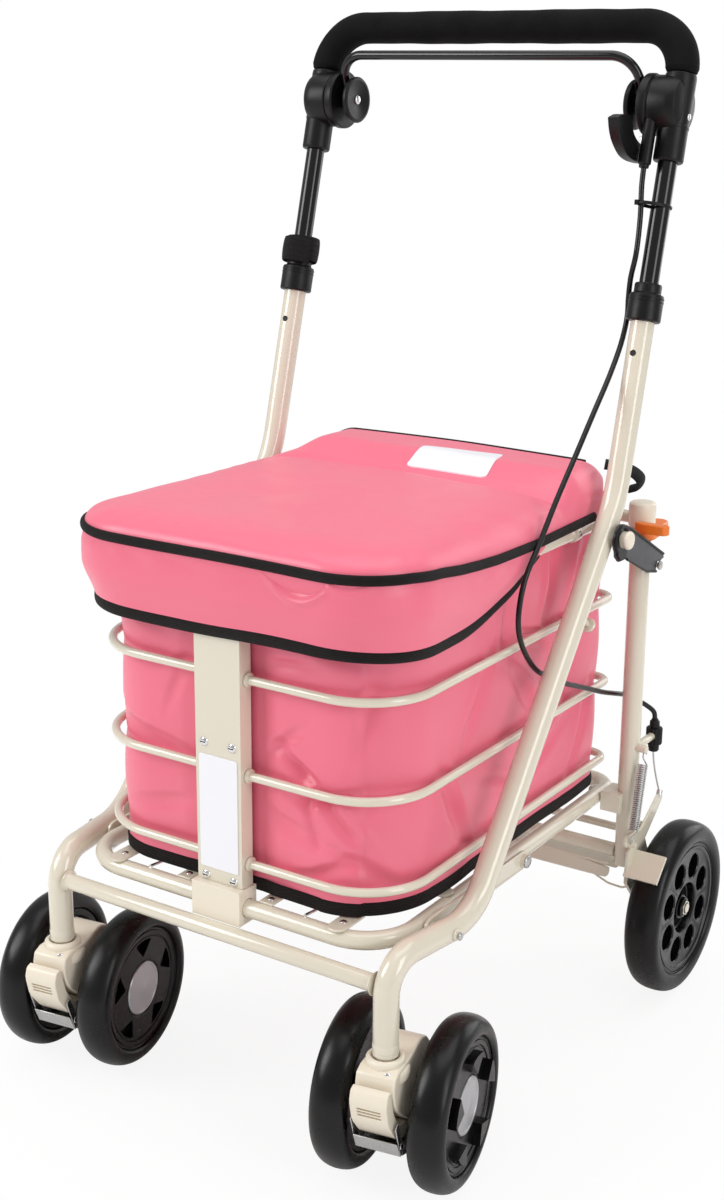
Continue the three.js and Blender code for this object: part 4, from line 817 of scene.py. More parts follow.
# %% Rear leg
BOLT_Y, PIN_Z, ARM_Z = 188.0, 463.0, 276.0
cap_rows = [(11.2, 0), (12.6, 0.8), (13, 2.4), (13, 20), (12.5, 22.4), (11, 23.6), (8, 24), (2, 24)]
nut_rows = [(9.6, 0), (10.4, 0.6), (10.4, 2.2), (9, 3.4), (6.4, 4.2), (5.8, 4.9), (3, 5.2), (0.5, 5.3)]
for side, k in SIDES:
    x0, x1 = sorted((k * 174.5, k * TUBE_X))
    post = [rod((k * TUBE_X, POST_Y, 148.3), (k * TUBE_X, POST_Y, 500), 10, 0.6, 40),
            block(x0, x1, 168, 195, 208, 228),
            rod((k * 153, BOLT_Y, RING_Z), (k * 175, BOLT_Y, RING_Z), 4),
            rod((k * TUBE_X, 190, PIN_Z), (k * 215.5, 190, PIN_Z), 2.6)]
    if k > 0:
        post += [rod((TUBE_X, 183, ARM_Z), (215.5, 183, ARM_Z), 4),
                 rod((203, POST_Y, ARM_Z), (203, 227, ARM_Z), 4)]
    piece(f"rear_post_{side}_smooth", post, beige_enamel, "rear_leg", [f"rear_post_{side}"], edge=0.5)
    heads = [dome((k * 173.5, BOLT_Y, RING_Z), (-k, 0, 0), 6.4, 2.2),
             rod((k * 213.9, 190, PIN_Z), (k * 216.3, 190, PIN_Z), 4.4, 0.7)]
    piece(f"post_bolts_{side}", heads, zinc_steel, "rear_leg")
    cap = turned(cap_rows, (k * TUBE_X, POST_Y, 500.3), (0, 0, 1))
    piece(f"post_cap_{side}_smooth", [cap], cream_plastic, "rear_leg", [f"post_cap_{side}"])
    refined(f"safety_catch_{side}", orange_plastic, 1.6)
    loop = bends([(k * 202, 197, 497.8), (k * 202, 198, 511), (k * TUBE_X, 202, 511),
                  (k * TUBE_X, 203, 497.8)], (2.6, 2.6), 8)
    piece(f"catch_wire_{side}", [sweep(loop, 0.8, (0, 1, 0.15), 12)], bright_chrome, f"catch_{side}")
    face = smoothed_outline([(k * 199, 160), (k * 228, 160), (k * 232, 164), (k * 232, 170.6),
                             (k * 199, 170.6)], 0.2, 1)
    piece(f"catch_face_{side}", [plate(face, 499.6, 509, "xy")], orange_plastic, f"catch_{side}", edge=1.2)
    refined(f"axle_plate_{side}", beige_enamel, 0.5)
    nut = turned(nut_rows, (k * 239.5, *REAR_AXLE), (k, 0, 0), 40)
    piece(f"axle_nut_{side}", [nut], black_enamel, "rear_leg")
CHANNEL = 182.7
lip = smoothed_outline([(-CHANNEL, 147.4), (-CHANNEL, 133), (-CHANNEL + 7, 130), (CHANNEL - 7, 130),
                        (CHANNEL, 133), (CHANNEL, 147.4)], 0.25, 2)
channel = [plate(lip, 178, 181, "xz"), plate(lip, 203, 206, "xz"),
           plate(rounded_rectangle(CHANNEL, 178, 206, 6, 6), 145, 148, "xy")]
piece("rear_channel_smooth", channel, beige_enamel, "rear_leg", ["rear_channel"], edge=0.7)
rear_cross = rod((-185.7, 186, 160), (185.7, 186, 160), 7, 0.3)
piece("rear_cross_smooth", [rear_cross], beige_enamel, "rear_leg", ["rear_cross_tube"])
refined("rear_bracket", beige_enamel, 0.6)
stay = bends([(60, 205, 126), (110, 206, 127), (150, 206, 119), (170, 206, 111), (190, 206, 110),
              (197, 200, 131)], (40, 30, 20, 8), 8)
piece("stay_wire", [sweep(stay, 1.1, (0, 1, 0), 12)], cream_plastic, "rear_leg")

# %% [markdown]
# On each upright sits a latch: a dark plate with a C-shaped eye that turns on the bolt of
# a cream knob, its far end dropping over a pin on the rear post. A thin raised bead round
# the eye and along the longer edges, and a dark lobe under the eye, finish the plate. The
# plate could be drawn anew, but it has to fit its knob and its pin, so it keeps the shape of
# the frame piece, and the beads are swept along its outline.

# %% Latches
LATCH = LATCH_PIVOT + np.array([
    [8, 11], [20, 6], [97.5, -35], [99, -39], [93, -40], [90, -41], [87, -38], [82, -42], [82, -49],
    [60, -44], [25, -27], [14, -22], [10, -8]])
LOBE = LATCH_PIVOT + np.array([[-11, 0], [-8.5, -14], [-2, -20], [7.5, -20], [10.5, -11.5], [11, 0]])
EYE_RADIUS = 12.2
knob_rows = [(4.5, 0), (7.2, 0.4), (7.8, 1.4), (7.8, 5.4), (8.5, 6.4), (8.5, 8.2), (7.6, 9.6), (5.4, 10.3),
             (1.5, 10.5)]
for side, k in SIDES:
    refined(f"latch_lever_{side}", grey_plate, 0.5)
    t = np.linspace(np.radians(28), np.radians(300), 30)
    eye = LATCH_PIVOT + EYE_RADIUS * np.stack([np.cos(t), np.sin(t)], axis=1)
    eye_rim, edge_line = (np.column_stack([np.full(len(line), k * 213.5), line]) for line in (eye, LATCH))
    rims = [sweep(eye_rim, 2.0, (1, 0, 0), 14), sweep(edge_line[:3], 1.3, (1, 0, 0), 12),
            sweep(edge_line[8:12], 1.3, (1, 0, 0), 12), plate(LOBE, *sorted((k * 213.0, k * 215.4)))]
    piece(f"latch_rim_{side}", rims, black_plastic, f"latch_{side}", edge=0.5)
    knob = [turned(knob_rows, (k * 213.8, *LATCH_PIVOT), (k, 0, 0), 40),
            rod((k * 207.3, *LATCH_PIVOT), (k * 210.3, *LATCH_PIVOT), 7),
            rod((k * 208, *LATCH_PIVOT), (k * 215, *LATCH_PIVOT), 4)]
    piece(f"latch_knob_{side}_smooth", knob, cream_plastic, "main_frame", [f"latch_knob_{side}"])

# %% [markdown]
# The handle is one black tube bent into an arch, with a thick foam sleeve. Two round
# housings carry the squeeze bar, the parking lever turns beside the right one, and a clamp
# collar on each upright sets the height. The foam swells and shrinks a little along its
# length, and its radius falls away over the last few millimetres, as on a sleeve cut to
# length. A bump could suggest this too, but it wouldn't change the outline, so the radius
# itself varies.


# %% Handle
LEAN = unit(np.array([0.0, 0.2589, 1.0]))
HINGE = np.array([0.0, lean(888.0), 888.0])
U_SQUARE = (0, 0.9681, -0.2506)
TOP_Z = 958


def handle_bend(foot_z, steps):
    """The handle's centre line, up one side, across and down the other, from a height."""
    ends = [(-TUBE_X, lean(foot_z), foot_z), (-TUBE_X, lean(TOP_Z), TOP_Z), (TUBE_X, lean(TOP_Z), TOP_Z),
            (TUBE_X, lean(foot_z), foot_z)]
    return bends(ends, (42, 42), steps)


handle_line = sweep(spaced(handle_bend(632, 18), 25), 9, U_SQUARE, 40)
piece("handle_tube_smooth", [handle_line], black_enamel, "handle", ["handle_tube"])
foam_line = spaced(handle_bend(916, 20), 6)
run = running(foam_line)
from_end = np.minimum(run, run[-1] - run)
foam_swell = 0.25 * np.sin(run / 21.0) + 0.15 * np.sin(run / 7.3 + 1.0)
foam_radius = 15.4 + foam_swell - 2.4 * np.clip(1 - from_end / 4.5, 0, 1) ** 2
piece("foam_grip_smooth", [sweep(foam_line, foam_radius, U_SQUARE, 56)], grip_foam, "handle", ["foam_grip"])
disc_rows = [(9, 166.8), (12, 167), (27.2, 167.2), (28.4, 168.6), (28.4, 173.8), (27.6, 175.6), (26, 176.4),
             (25.6, 177), (26.8, 178), (27, 179.5), (27, 194), (26.4, 199), (24, 203.4), (18, 206.2),
             (8, 207)]
sleeve_rows = [(9.3, 0), (12.8, 0), (13.6, 0.8), (14, 2.4), (14, 34), (14.3, 44), (14.6, 76), (14.2, 79),
               (13, 80), (9.3, 80.1)]
collar_rows = [(11.3, 0), (15, 0), (16, 1.2), (16, 23), (15.4, 24.6), (13.4, 25.3), (12.6, 26.2),
               (12.6, 33), (12, 34.4), (9.5, 34.6), (9.5, 3.2), (11.3, 2.8)]
pivot_rows = [(2, 0), (20.6, 0), (22, 0.7), (22.6, 2), (22.6, 4), (21.6, 5.2), (19.4, 5.6), (18.6, 5.0),
              (7.6, 5.0), (6.8, 4.4), (0.5, 4.4)]
for side, k in SIDES:
    foot = np.array([k * TUBE_X, lean(838), 838])
    parts = [turned(disc_rows, HINGE, (k, 0, 0), 72), turned(sleeve_rows, foot, LEAN, 56),
             turned([(14.0, 30), (14.45, 30.5), (14.45, 33), (14.1, 33.5)], foot, LEAN, 56)]
    if k > 0:
        low = np.array([180.0, lean(836) - 15.5, 836])
        parts.append(turned([(3, 0), (5.2, 0), (6, 1), (6, 44), (5, 47), (1, 48)], low, LEAN, 40))
        parts.append(turned([(3.2, -3), (4.4, -3), (4.6, -2), (4.6, 1)], low, LEAN, 32))
    piece(f"hinge_housing_{side}_smooth", parts, black_plastic, "handle", [f"hinge_housing_{side}"],
          edge=0.35)
    base = np.array([k * TUBE_X, lean(697.3), 697.3])
    parts = [turned(collar_rows, base, LEAN, 56, closed=True)]
    parts += [turned([(15.9, z), (16.35, z + 0.4), (16.35, z + 1.2), (15.9, z + 1.6)], base, LEAN, 56)
              for z in (17.5, 20.6)]
    piece(f"height_collar_{side}_smooth", parts, black_plastic, "main_frame", [f"height_collar_{side}"])
    cap = turned(pivot_rows, HINGE + (k * 157.8, 0, 0), (-k, 0, 0), 72)
    piece(f"brake_pivot_cap_{side}", [cap], black_plastic, "squeeze_bar")
    screw = dome(HINGE + (k * 153.2, 0, 0), (-k, 0, 0), 4.6, 2.0, 28)
    piece(f"brake_pivot_screw_{side}", [screw], bright_chrome, "squeeze_bar")
rivets = [dome((209.8, lean(878), 878), (1, 0, 0), 3.2, 1.4),
          dome((167, lean(858) - 4, 858), (-1, 0, 0), 2.4, 1.0)]
piece("sleeve_rivet", rivets, bright_chrome, "handle")
bar_y, bar_z = HINGE[1] - 18, 931
bar_line = bends([(-162.7, HINGE[1], 888), (-162.7, bar_y, bar_z), (162.7, bar_y, bar_z),
                  (162.7, HINGE[1], 888)], (26, 26), 16)
bosses = [turned([(7, 0), (9, 0.5), (9, 7.3), (8, 8)], HINGE + (k * 158.7, 0, 0), (k, 0, 0), 48)
          for _, k in SIDES]
piece("brake_bar_smooth", [sweep(spaced(bar_line, 20), 4.5, (0, 0.9224, 0.3861), 28)] + bosses, black_enamel,
      "squeeze_bar", ["brake_bar"])
blade = through([
    (138, 877.6), (140.6, 868), (146, 858.4), (155.3, 849.6), (164, 843.8), (175, 839.9), (189, 837.4),
    (204, 836.6), (210.5, 841), (211, 848), (205, 852), (196, 852.4), (188, 854.6), (180, 858.6),
    (173.8, 864), (170.2, 871), (168.4, 877), (160, 880), (148, 880)], 3)
lever = [plate(blade, 163.6, 173.4), rod((161.5, 202.2, 846), (175, 202.2, 846), 5.6, 0.8)]
piece("park_lever_smooth", lever, black_plastic, "parking_lever", ["park_lever"], edge=1.2)

# %% [markdown]
# Small soft things come next: a hook-and-loop strap wound round the left tube and the thin
# black tie that holds the brake cable. The strap stays on the upright, so the tube
# slides through it when the handle is lowered, and the tie goes down with the tube. Cloth
# simulation would be slow for things this small, so both are flat ovals carried along a line.

# %% Strap and tie
STRAP_Z, TIE_Z = 738, 799
turns = np.linspace(0, 2 * np.pi * 1.3, 110)
strap_axis = np.array([-TUBE_X, lean(STRAP_Z), STRAP_Z])
strap_u = np.array([1.0, 0, 0])
strap_v = np.cross(LEAN, strap_u)
loose_end = 3.2 * np.clip((turns - 7.3) / 0.9, 0, 1) ** 2
wound = 15.6 + 3.0 * turns / turns[-1] + 0.7 * np.sin(3 * turns) + loose_end
about = np.cos(turns + 3.9)[:, None] * strap_u + np.sin(turns + 3.9)[:, None] * strap_v
rise = 1.6 * np.sin(turns * 0.9) - 3.5 * np.clip((turns - 6.6) / 1.5, 0, 1)
strap_line = strap_axis + wound[:, None] * about + LEAN * rise[:, None]
piece("strap_left", [sweep(strap_line, 1.5, LEAN, 20, high=12.0)], black_web, "main_frame")
tie_reach = unit(np.array([-0.717, -0.697, 0.18]))
tie_side = np.cross(LEAN, tie_reach)
tie_axis = np.array([TUBE_X, lean(TIE_Z), TIE_Z]) + 6.2 * tie_reach
a = np.linspace(0, 2 * np.pi, 49)[:-1, None]
tie_line = tie_axis + 16.2 * np.cos(a) * tie_reach + 10.5 * np.sin(a) * tie_side
x, y, z = tie_axis + 17.0 * tie_reach
tie = [sweep(tie_line, 0.8, LEAN, 12, closed=True, high=1.7),
       block(x - 2, x + 2, y - 2, y + 2, z - 2.3, z + 2.3)]
piece("cable_tie", tie, black_plastic, "handle", edge=0.4)

# %% [markdown]
# Squeezing the bar pulls a cable that runs down beside the right upright, swings under the
# lid and ends at the rear brake. It crosses three moving joints, so it is made as three
# lengths: each runs between the two bodies it joins, and their ends share the same point.
# None of the lengths is hung on a body.
# The curve through its route points is the spline from the helpers, and the return spring
# is a helix whose two ends run out into hooks.


# %% Brake cable and brake
PER_SPAN = 8
cable_route = [
    (180, 184, 835.4), (180.6, 180, 818), (183, 175, 790), (184, 167.6, 757.3), (178.5, 170.5, 735),
    (176.5, 172, 716), (176.7, 171, 700), (177.6, 160, 678.5), (179, 136.5, 652), (180.4, 101, 619),
    (180.6, 69, 586.5), (180.6, 35, 552), (180.6, 4.9, 518), (180.6, -18.5, 492), (180.6, -27.5, 468),
    (180.6, -28, 452), (180.6, -23, 437), (180.5, -10, 419), (180.3, 7, 403), (180.2, 27, 391),
    (180.2, 65, 373), (180, 110, 355), (180.2, 150, 339), (180.6, 176, 330), (182, 196, 323),
    (189, 210, 315), (197, 220, 307), (202, 225.5, 300), (203, 227, 292.5)]
cable_line = through(cable_route, PER_SPAN)
for name, first, last, a, b in (("upper", 0, 9, "handle", "main_frame"),
                                ("middle", 9, 19, "main_frame", "basket_ring"),
                                ("lower", 19, 28, "basket_ring", "rear_leg")):
    length = cable_line[first * PER_SPAN : last * PER_SPAN + 1]
    made = piece(f"brake_cable_{name}", [sweep(length, 2.5, (1, 0.05, 0), 20)], cable_skin, None,
                 ["brake_cable"] if name == "upper" else [])
    tuple(metres(length[0]))
    tuple(metres(length[-1]))
    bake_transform(made)
ADJUSTER, RIBS = (203, 227), 84
adjuster_rows = np.array([(2.6, 34.4), (3.4, 34.4), (3.6, 33), (5, 32), (5.2, 26), (7.4, 25.5), (8, 24.6),
                          (8, 9), (7.4, 8), (5.6, 7.6), (5.6, 2), (4.8, 0.6), (1.4, 0.2)])
points, faces, uv = turned(adjuster_rows, (*ADJUSTER, 258), (0, 0, 1), RIBS)
rings = points.reshape(len(adjuster_rows), RIBS, 3)
wave = np.sign(np.sin(np.arange(RIBS) * 2 * np.pi / 6))[None, :, None]
ribs = 1 + 0.035 * wave * (adjuster_rows[:, 0] > 7.3)[:, None, None]
rings[..., :2] = (rings[..., :2] - ADJUSTER) * ribs + ADJUSTER
piece("cable_adjuster_smooth", [(rings.reshape(-1, 3), faces, uv)], black_plastic, "rear_leg",
      ["cable_adjuster"])
COILS, COIL_RADIUS, HOOK = 31, 4.2, 11
coil_top, coil_foot = np.array([213.2, 183.0, 271.7]), np.array([213.2, 163.5, 184.4])
down = unit(coil_foot - coil_top)
out = np.cross(down, (1, 0, 0))
phase = np.linspace(0, 2 * np.pi * COILS, COILS * 16 + 1)
place = HOOK + (float(np.linalg.norm(coil_foot - coil_top)) - 2 * HOOK) * phase / phase[-1]
circle = np.cos(phase)[:, None] * np.array([1.0, 0, 0]) + np.sin(phase)[:, None] * out
coil = coil_top + place[:, None] * down + COIL_RADIUS * circle
top_hook = through([coil[0], coil_top + down * 8 + (1.5, 0, 0), coil_top + down * 3 + out * 3,
                    coil_top - down * 4.6, coil_top + down * 1 - out * 4.4], 6)[::-1]
foot_hook = through([coil[-1], coil_foot - down * 8 + (1.5, 0, 0), coil_foot - down * 3 + out * 3,
                     coil_foot + down * 4.2, coil_foot - down * 1 - out * 4.4], 6)
spring_line = np.vstack([top_hook[:-1], coil, foot_hook[1:]])
spring = piece("brake_spring_smooth", [sweep(spring_line, 0.75, (0.31, 0.77, 0.56), 8)], zinc_steel, None,
               ["brake_spring"])
tuple(metres(coil_top + down * 8))
tuple(metres(coil_foot - down * 4))
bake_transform(spring)
inner_line = through([(203, 227, 258.6), (203.4, 228.4, 248), (205, 231, 233), (207.7, 237, 211.1)], 8)
inner = piece("brake_inner_wire_smooth", [sweep(inner_line, 0.9, (1, 0, 0), 12)], zinc_steel, None,
              ["brake_inner_wire"])
tuple(metres([203, 227, 257]))
tuple(metres([207, 235.4, 216]))
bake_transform(inner)
refined("brake_beam", beige_enamel, 0.8)
nipple = rod((208.0, 235.2, 206.2), (208.0, 238.6, 212.4), 3.2, 0.8, 28)
piece("wire_nipple", [nipple], bright_chrome, "shoe_beam")

# %% [markdown]
# The rear wheels are moulded rims in black tyres. The tread section is a rounded shape
# called a superellipse: the distance across and the height, each as a share of its largest
# value and raised to the same power, add up to one. A round well surrounds the axle nut. It
# is part of the profile, but a turned profile can't have the eight holes round the rim's
# web, so a boolean cuts those.


# %% Wheels
def tyre_section(radius, half, seat, seat_half, power=2.6, shoulder=0.865, steps=18):
    """Rows of (radius, across): the tread, then a quarter ellipse down each wall to the rim."""
    t = np.linspace(-1, 1, 2 * steps + 1)
    across = np.sign(t) * np.abs(np.sin(t * np.pi / 2)) ** 0.9
    tread = radius * (shoulder + (1 - shoulder) * (1 - np.abs(across) ** power) ** (1 / power))
    wall = np.linspace(0, np.pi / 2, 7)[1:]
    wall_across = seat_half + (half - seat_half) * np.cos(wall)
    wall_radius = radius * shoulder - (radius * shoulder - seat) * np.sin(wall)
    right = np.stack([wall_radius, wall_across], axis=1)
    left = right[::-1] * (1, -1)
    middle = np.stack([tread, across * half], axis=1)
    return np.vstack([left, middle, right])


HOLES, HOLE_CIRCLE = 8, 43.8
tread_rows = np.vstack([[68.98, -14.3], tyre_section(89, 18, 69.4, 14.5), [68.98, 14.3]])
rim_rows = [(5.6, -14.9), (12, -14.9), (13.4, -14), (14.4, -8.6), (26, -7.4), (59.4, -7.4), (61, -8.6),
            (62.4, -13.4), (63.6, -14.3), (68.4, -14.3), (68.9, -13.8), (68.9, 13.6), (68.4, 14.2),
            (66.8, 14.4), (66.4, 13.4), (65.4, 13.4), (65, 14.2), (62.4, 14.0), (61.6, 12.8), (60.6, 12.2),
            (28.4, 12.6), (26.6, 12.0), (26, 10.6), (25.4, 4.2), (24.4, 3.2), (15, 3.0), (13.4, 3.8),
            (12.8, 8.4), (11.8, 9.2), (5.6, 9.2)]
for side, k in SIDES:
    body = f"rear_wheel_{side}"
    hub = np.array([k * 230.0, *REAR_AXLE])
    tread = turned(tread_rows, hub, (k, 0, 0), 128, closed=True)
    piece(f"rear_tyre_{side}_smooth", [tread], tread_rubber, body, [f"rear_tyre_{side}"], angle=50)
    rim = turned(rim_rows, hub, (k, 0, 0), 128, closed=True)
    rim = piece(f"rear_rim_{side}_smooth", [rim], rim_plastic, body, [f"rear_rim_{side}"], angle=32)
    drills = []
    for a in 2 * np.pi * (np.arange(HOLES) + 0.5) / HOLES:
        middle = hub + (0, HOLE_CIRCLE * math.cos(a), HOLE_CIRCLE * math.sin(a))
        drills.append(turned([(14.2, 16), (14.0, 12.3), (13.0, 11.2), (12.2, -16)], middle, (k, 0, 0), 44))
    carve(rim, drills)

# %% [markdown]
# Each front corner has a pair of wheels on one axle, swung eight to ten degrees on its stem.
# The pieces are made straight ahead at the origin of the stem and then turned as one, the
# way they turn on the real stem. Each wheel has five cut pockets and a grey cap on the
# face that is turned away from the stem.

# %% Casters
YAW = {"left": 0.14, "right": 0.175}
WHEEL_X, POCKETS = 43.9, 5
HEAD = [(-20, 131), (16, 131), (24, 134), (36, 136.5), (48, 132), (57, 121), (62, 100), (62, 66), (46, 56),
        (30, 58), (14, 70), (-4, 84), (-18, 98), (-24, 116)]
PEDAL = [(-27, 121), (-24, 108), (-20, 95), (-8, 78), (5.2, 75), (9.6, 72.8), (11.5, 71), (6, 63), (-2, 61),
         (-16, 70), (-32, 90), (-37, 110), (-34, 119)]
SKID = [(-12, 53), (2, 48), (20, 49), (36, 54), (36, 60), (30, 60), (18, 55), (4, 55), (-8, 59)]
POCKET = ((31, -0.06), (47.2, -0.36), (47.6, -0.2), (47.8, 0.0), (47.6, 0.12), (46.4, 0.2))
collar_rows = [(8.2, -4), (15.6, -4), (16.4, -2.6), (16.4, 3.2), (15.6, 4.8), (13.4, 5.4), (11.6, 5.5),
               (11.4, 2), (8.2, 1.6)]
skirt_rows = [(12, -14), (19.4, -14), (20.6, -12), (20.6, -6), (19, -3.6), (12, -3)]
disc_rows = [(57.6, -13.6), (52.6, -13.6), (51.4, -12.8), (50.2, -6.6), (48, -5.6), (20, -5.6),
             (17.4, -6.4), (16.4, -11), (15, -12.4), (6.6, -12.4), (6.6, 11.6), (26.4, 11.6), (27.4, 12.4),
             (49, 12.2), (49.6, 11.4), (50.6, 11.4), (51.2, 12.6), (54.8, 13.0), (55.4, 12.0), (57.2, 12.0),
             (58.0, 13.0)]
wheel_rows = np.vstack([disc_rows, tyre_section(75, 17, 58.6, 13.4, power=2.2, shoulder=0.84)])
cap_rows = [(5, 10.6), (24.6, 10.6), (25.2, 11.4), (25.2, 12.6), (24.4, 13.3), (22.6, 13.3), (22.0, 12.7),
            (14, 13.2), (3.4, 13.6), (2.6, 13.9), (1.2, 14.2), (0.2, 14.3)]


def swung(parts, side, k):
    """Turns points made at the stem by the caster's yaw, then moves them out to the stem.

    x' = x cos a - y sin a and y' = x sin a + y cos a.
    """
    a = YAW[side]
    done = []
    for p, faces, uv in parts:
        q = np.array(p, dtype=float)
        x, y = q[:, 0].copy(), q[:, 1].copy()
        q[:, 0] = k * STEM_X + x * math.cos(a) - y * math.sin(a)
        q[:, 1] = STEM_Y + x * math.sin(a) + y * math.cos(a)
        done.append((q, faces, uv))
    return done


for side, k in SIDES:
    body = f"caster_{side}"
    head = [turned(collar_rows, (0, 0, 131), (0, 0, 1), 56, closed=True),
            turned(skirt_rows, (0, 0, 131), (0, 0, 1), 56),
            plate(smoothed_outline(HEAD, 0.22, 1), -17.5, 17.5),
            rod((-19.5, 40, 84), (19.5, 40, 84), 19, 2.5, 48)]
    piece(f"caster_head_{side}_smooth", swung(head, side, k), cream_plastic, body, [f"caster_head_{side}"],
          edge=1.8)
    axle = rod((-52, *FRONT_AXLE), (52, *FRONT_AXLE), 6, 0.8)
    piece(f"caster_axle_{side}", swung([axle], side, k), black_enamel, body)
    skid = [plate(SKID, -21, 21)]
    skid += [plate([(-14, 53), (-8, 59), (-20, 88), (-26, 86)], x, x + 1.2) for x in (-20.7, 19.5)]
    skid.append(plate([(-13, 53), (-14.4, 53.4), (-21.5, 68.4), (-20.1, 68.6)], -20, 20))
    piece(f"caster_skid_{side}", swung(skid, side, k), zinc_steel, body, edge=0.5)
    screws = [dome((9.5, -17.6, 127.6), (0.5, -0.85, 0.1), 3.1, 1.2, 24),
              dome((20.6, -13, 63), (1, 0, 0), 3.2, 1.4, 24),
              dome((-20.6, -13, 63), (-1, 0, 0), 3.2, 1.4, 24)]
    piece(f"caster_screws_{side}", swung(screws, side, k), bright_chrome, body)
    tread = plate(smoothed_outline(PEDAL, 0.16, 1), -16.5, 16.5)
    pedal = piece(f"caster_pedal_{side}_smooth", swung([tread], side, k), cream_plastic, f"pedal_{side}",
                  [f"caster_pedal_{side}"])
    grooves = []
    for t in (0.30, 0.52, 0.74):
        y, z = -36 + 4 * t, 108 - 15 * t
        grooves.append(block(-10.5, 10.5, y - 5.5, y + 3.4, z - 1.0, z + 1.0))
    carve(pedal, swung(grooves, side, k))
    soften(pedal, 1.4)
    for place, j in (("inner", -k), ("outer", k)):
        body = f"wheel_{side}_{place}"
        hub = np.array([j * WHEEL_X, *FRONT_AXLE])
        wheel = turned(wheel_rows, hub, (j, 0, 0), 112, closed=True)
        wheel = piece(f"front_wheel_{side}_{place}_smooth", swung([wheel], side, k), tread_rubber, body,
                      [f"front_wheel_{side}_{place}"], angle=34)
        pockets = []
        for a in 2 * np.pi * (np.arange(POCKETS) + 0.25) / POCKETS:
            flat = [(hub[1] + r * math.cos(a + b), hub[2] + r * math.sin(a + b)) for r, b in POCKET]
            pockets.append(plate(flat, *sorted((j * (WHEEL_X + 5.5), j * (WHEEL_X + 20)))))
        carve(wheel, swung(pockets, side, k))
        cap = turned(cap_rows, hub, (j, 0, 0), 72)
        piece(f"hub_cap_{side}_{place}", swung([cap], side, k), hub_cap_metal, body)

# %% [markdown]
# The shopping bag is coated cloth hung inside the wires, which press it in where they run
# and let it swell between them. It is made in four tiers that meet at the wires, because
# the rings close on one another when the walker folds, and each tier rides on its own ring
# or on the seat. Each tier is a thin double skin, so the bag has an inner face too. A cloth
# simulation would find dents of its own. Here they are listed one by one, so that each can
# be put in its place.


# %% Bag
BAG_HALF, BAG_SHIFT, BAG_FRONT, BAG_REAR, COUNT = 156.6, 2.8, -199.6, 186.5, 440
CLOTH = 1.7
bag_line, bag_out, bag_run = even_outline(BAG_HALF, BAG_FRONT, BAG_REAR, 64.0, COUNT, rear=18.0)
bag_line = bag_line + (BAG_SHIFT, 0)
WIRE_Z = np.array([229.0, 257.0, 338.0, 424.0, 500.0])
# By face: place along it, height, slope in degrees, half length, half width and depth of each dent
DENTS = {
    "front": [(74, 352, -34, 24, 7, 4.2), (96, 330, 12, 22, 7, 4.4), (52, 372, 38, 26, 7, 3.0),
              (116, 306, -52, 34, 7, 3.6), (84, 312, -72, 26, 6, 3.0), (58, 300, -16, 36, 10, 2.2),
              (128, 276, -34, 30, 8, 3.0), (100, 268, 28, 26, 7, 2.4), (-92, 350, -12, 40, 9, 2.2),
              (-70, 290, 14, 38, 10, 2.0), (-104, 462, -18, 30, 7, 2.6), (-60, 400, 64, 30, 8, 1.8),
              (92, 462, -12, 44, 8, 2.8), (60, 442, 6, 30, 7, 2.0), (136, 404, 76, 34, 8, 2.4),
              (40, 244, 4, 36, 6, 1.6)],
    "right": [(-96, 300, -62, 42, 8, 3.0), (-60, 392, 56, 36, 8, 2.6), (-14, 466, 82, 34, 7, 3.0),
              (22, 372, -48, 38, 8, 3.0), (70, 468, 76, 34, 8, 3.2), (64, 300, 24, 50, 8, 2.6),
              (112, 398, 84, 48, 8, 3.0), (140, 300, 64, 40, 8, 2.6), (-20, 292, -24, 40, 9, 2.6),
              (40, 420, -20, 30, 7, 2.2), (120, 462, 60, 26, 7, 2.4)],
    "left": [(-90, 380, 62, 40, 9, 2.6), (0, 300, -32, 50, 9, 2.6), (90, 440, 70, 40, 9, 2.6)],
    "rear": [(-70, 360, 74, 50, 10, 2.8), (80, 320, -60, 50, 10, 2.8), (100, 440, 80, 36, 8, 2.4)],
}


def dent_home(face, place):
    """Running length along the bag's outline at a place on one of its four faces."""
    spot = {"front": (place, BAG_FRONT), "right": (BAG_HALF, place), "left": (-BAG_HALF, -place),
            "rear": (-place, BAG_REAR)}[face]
    return bag_run[np.argmin(np.linalg.norm(bag_line - spot, axis=1))]


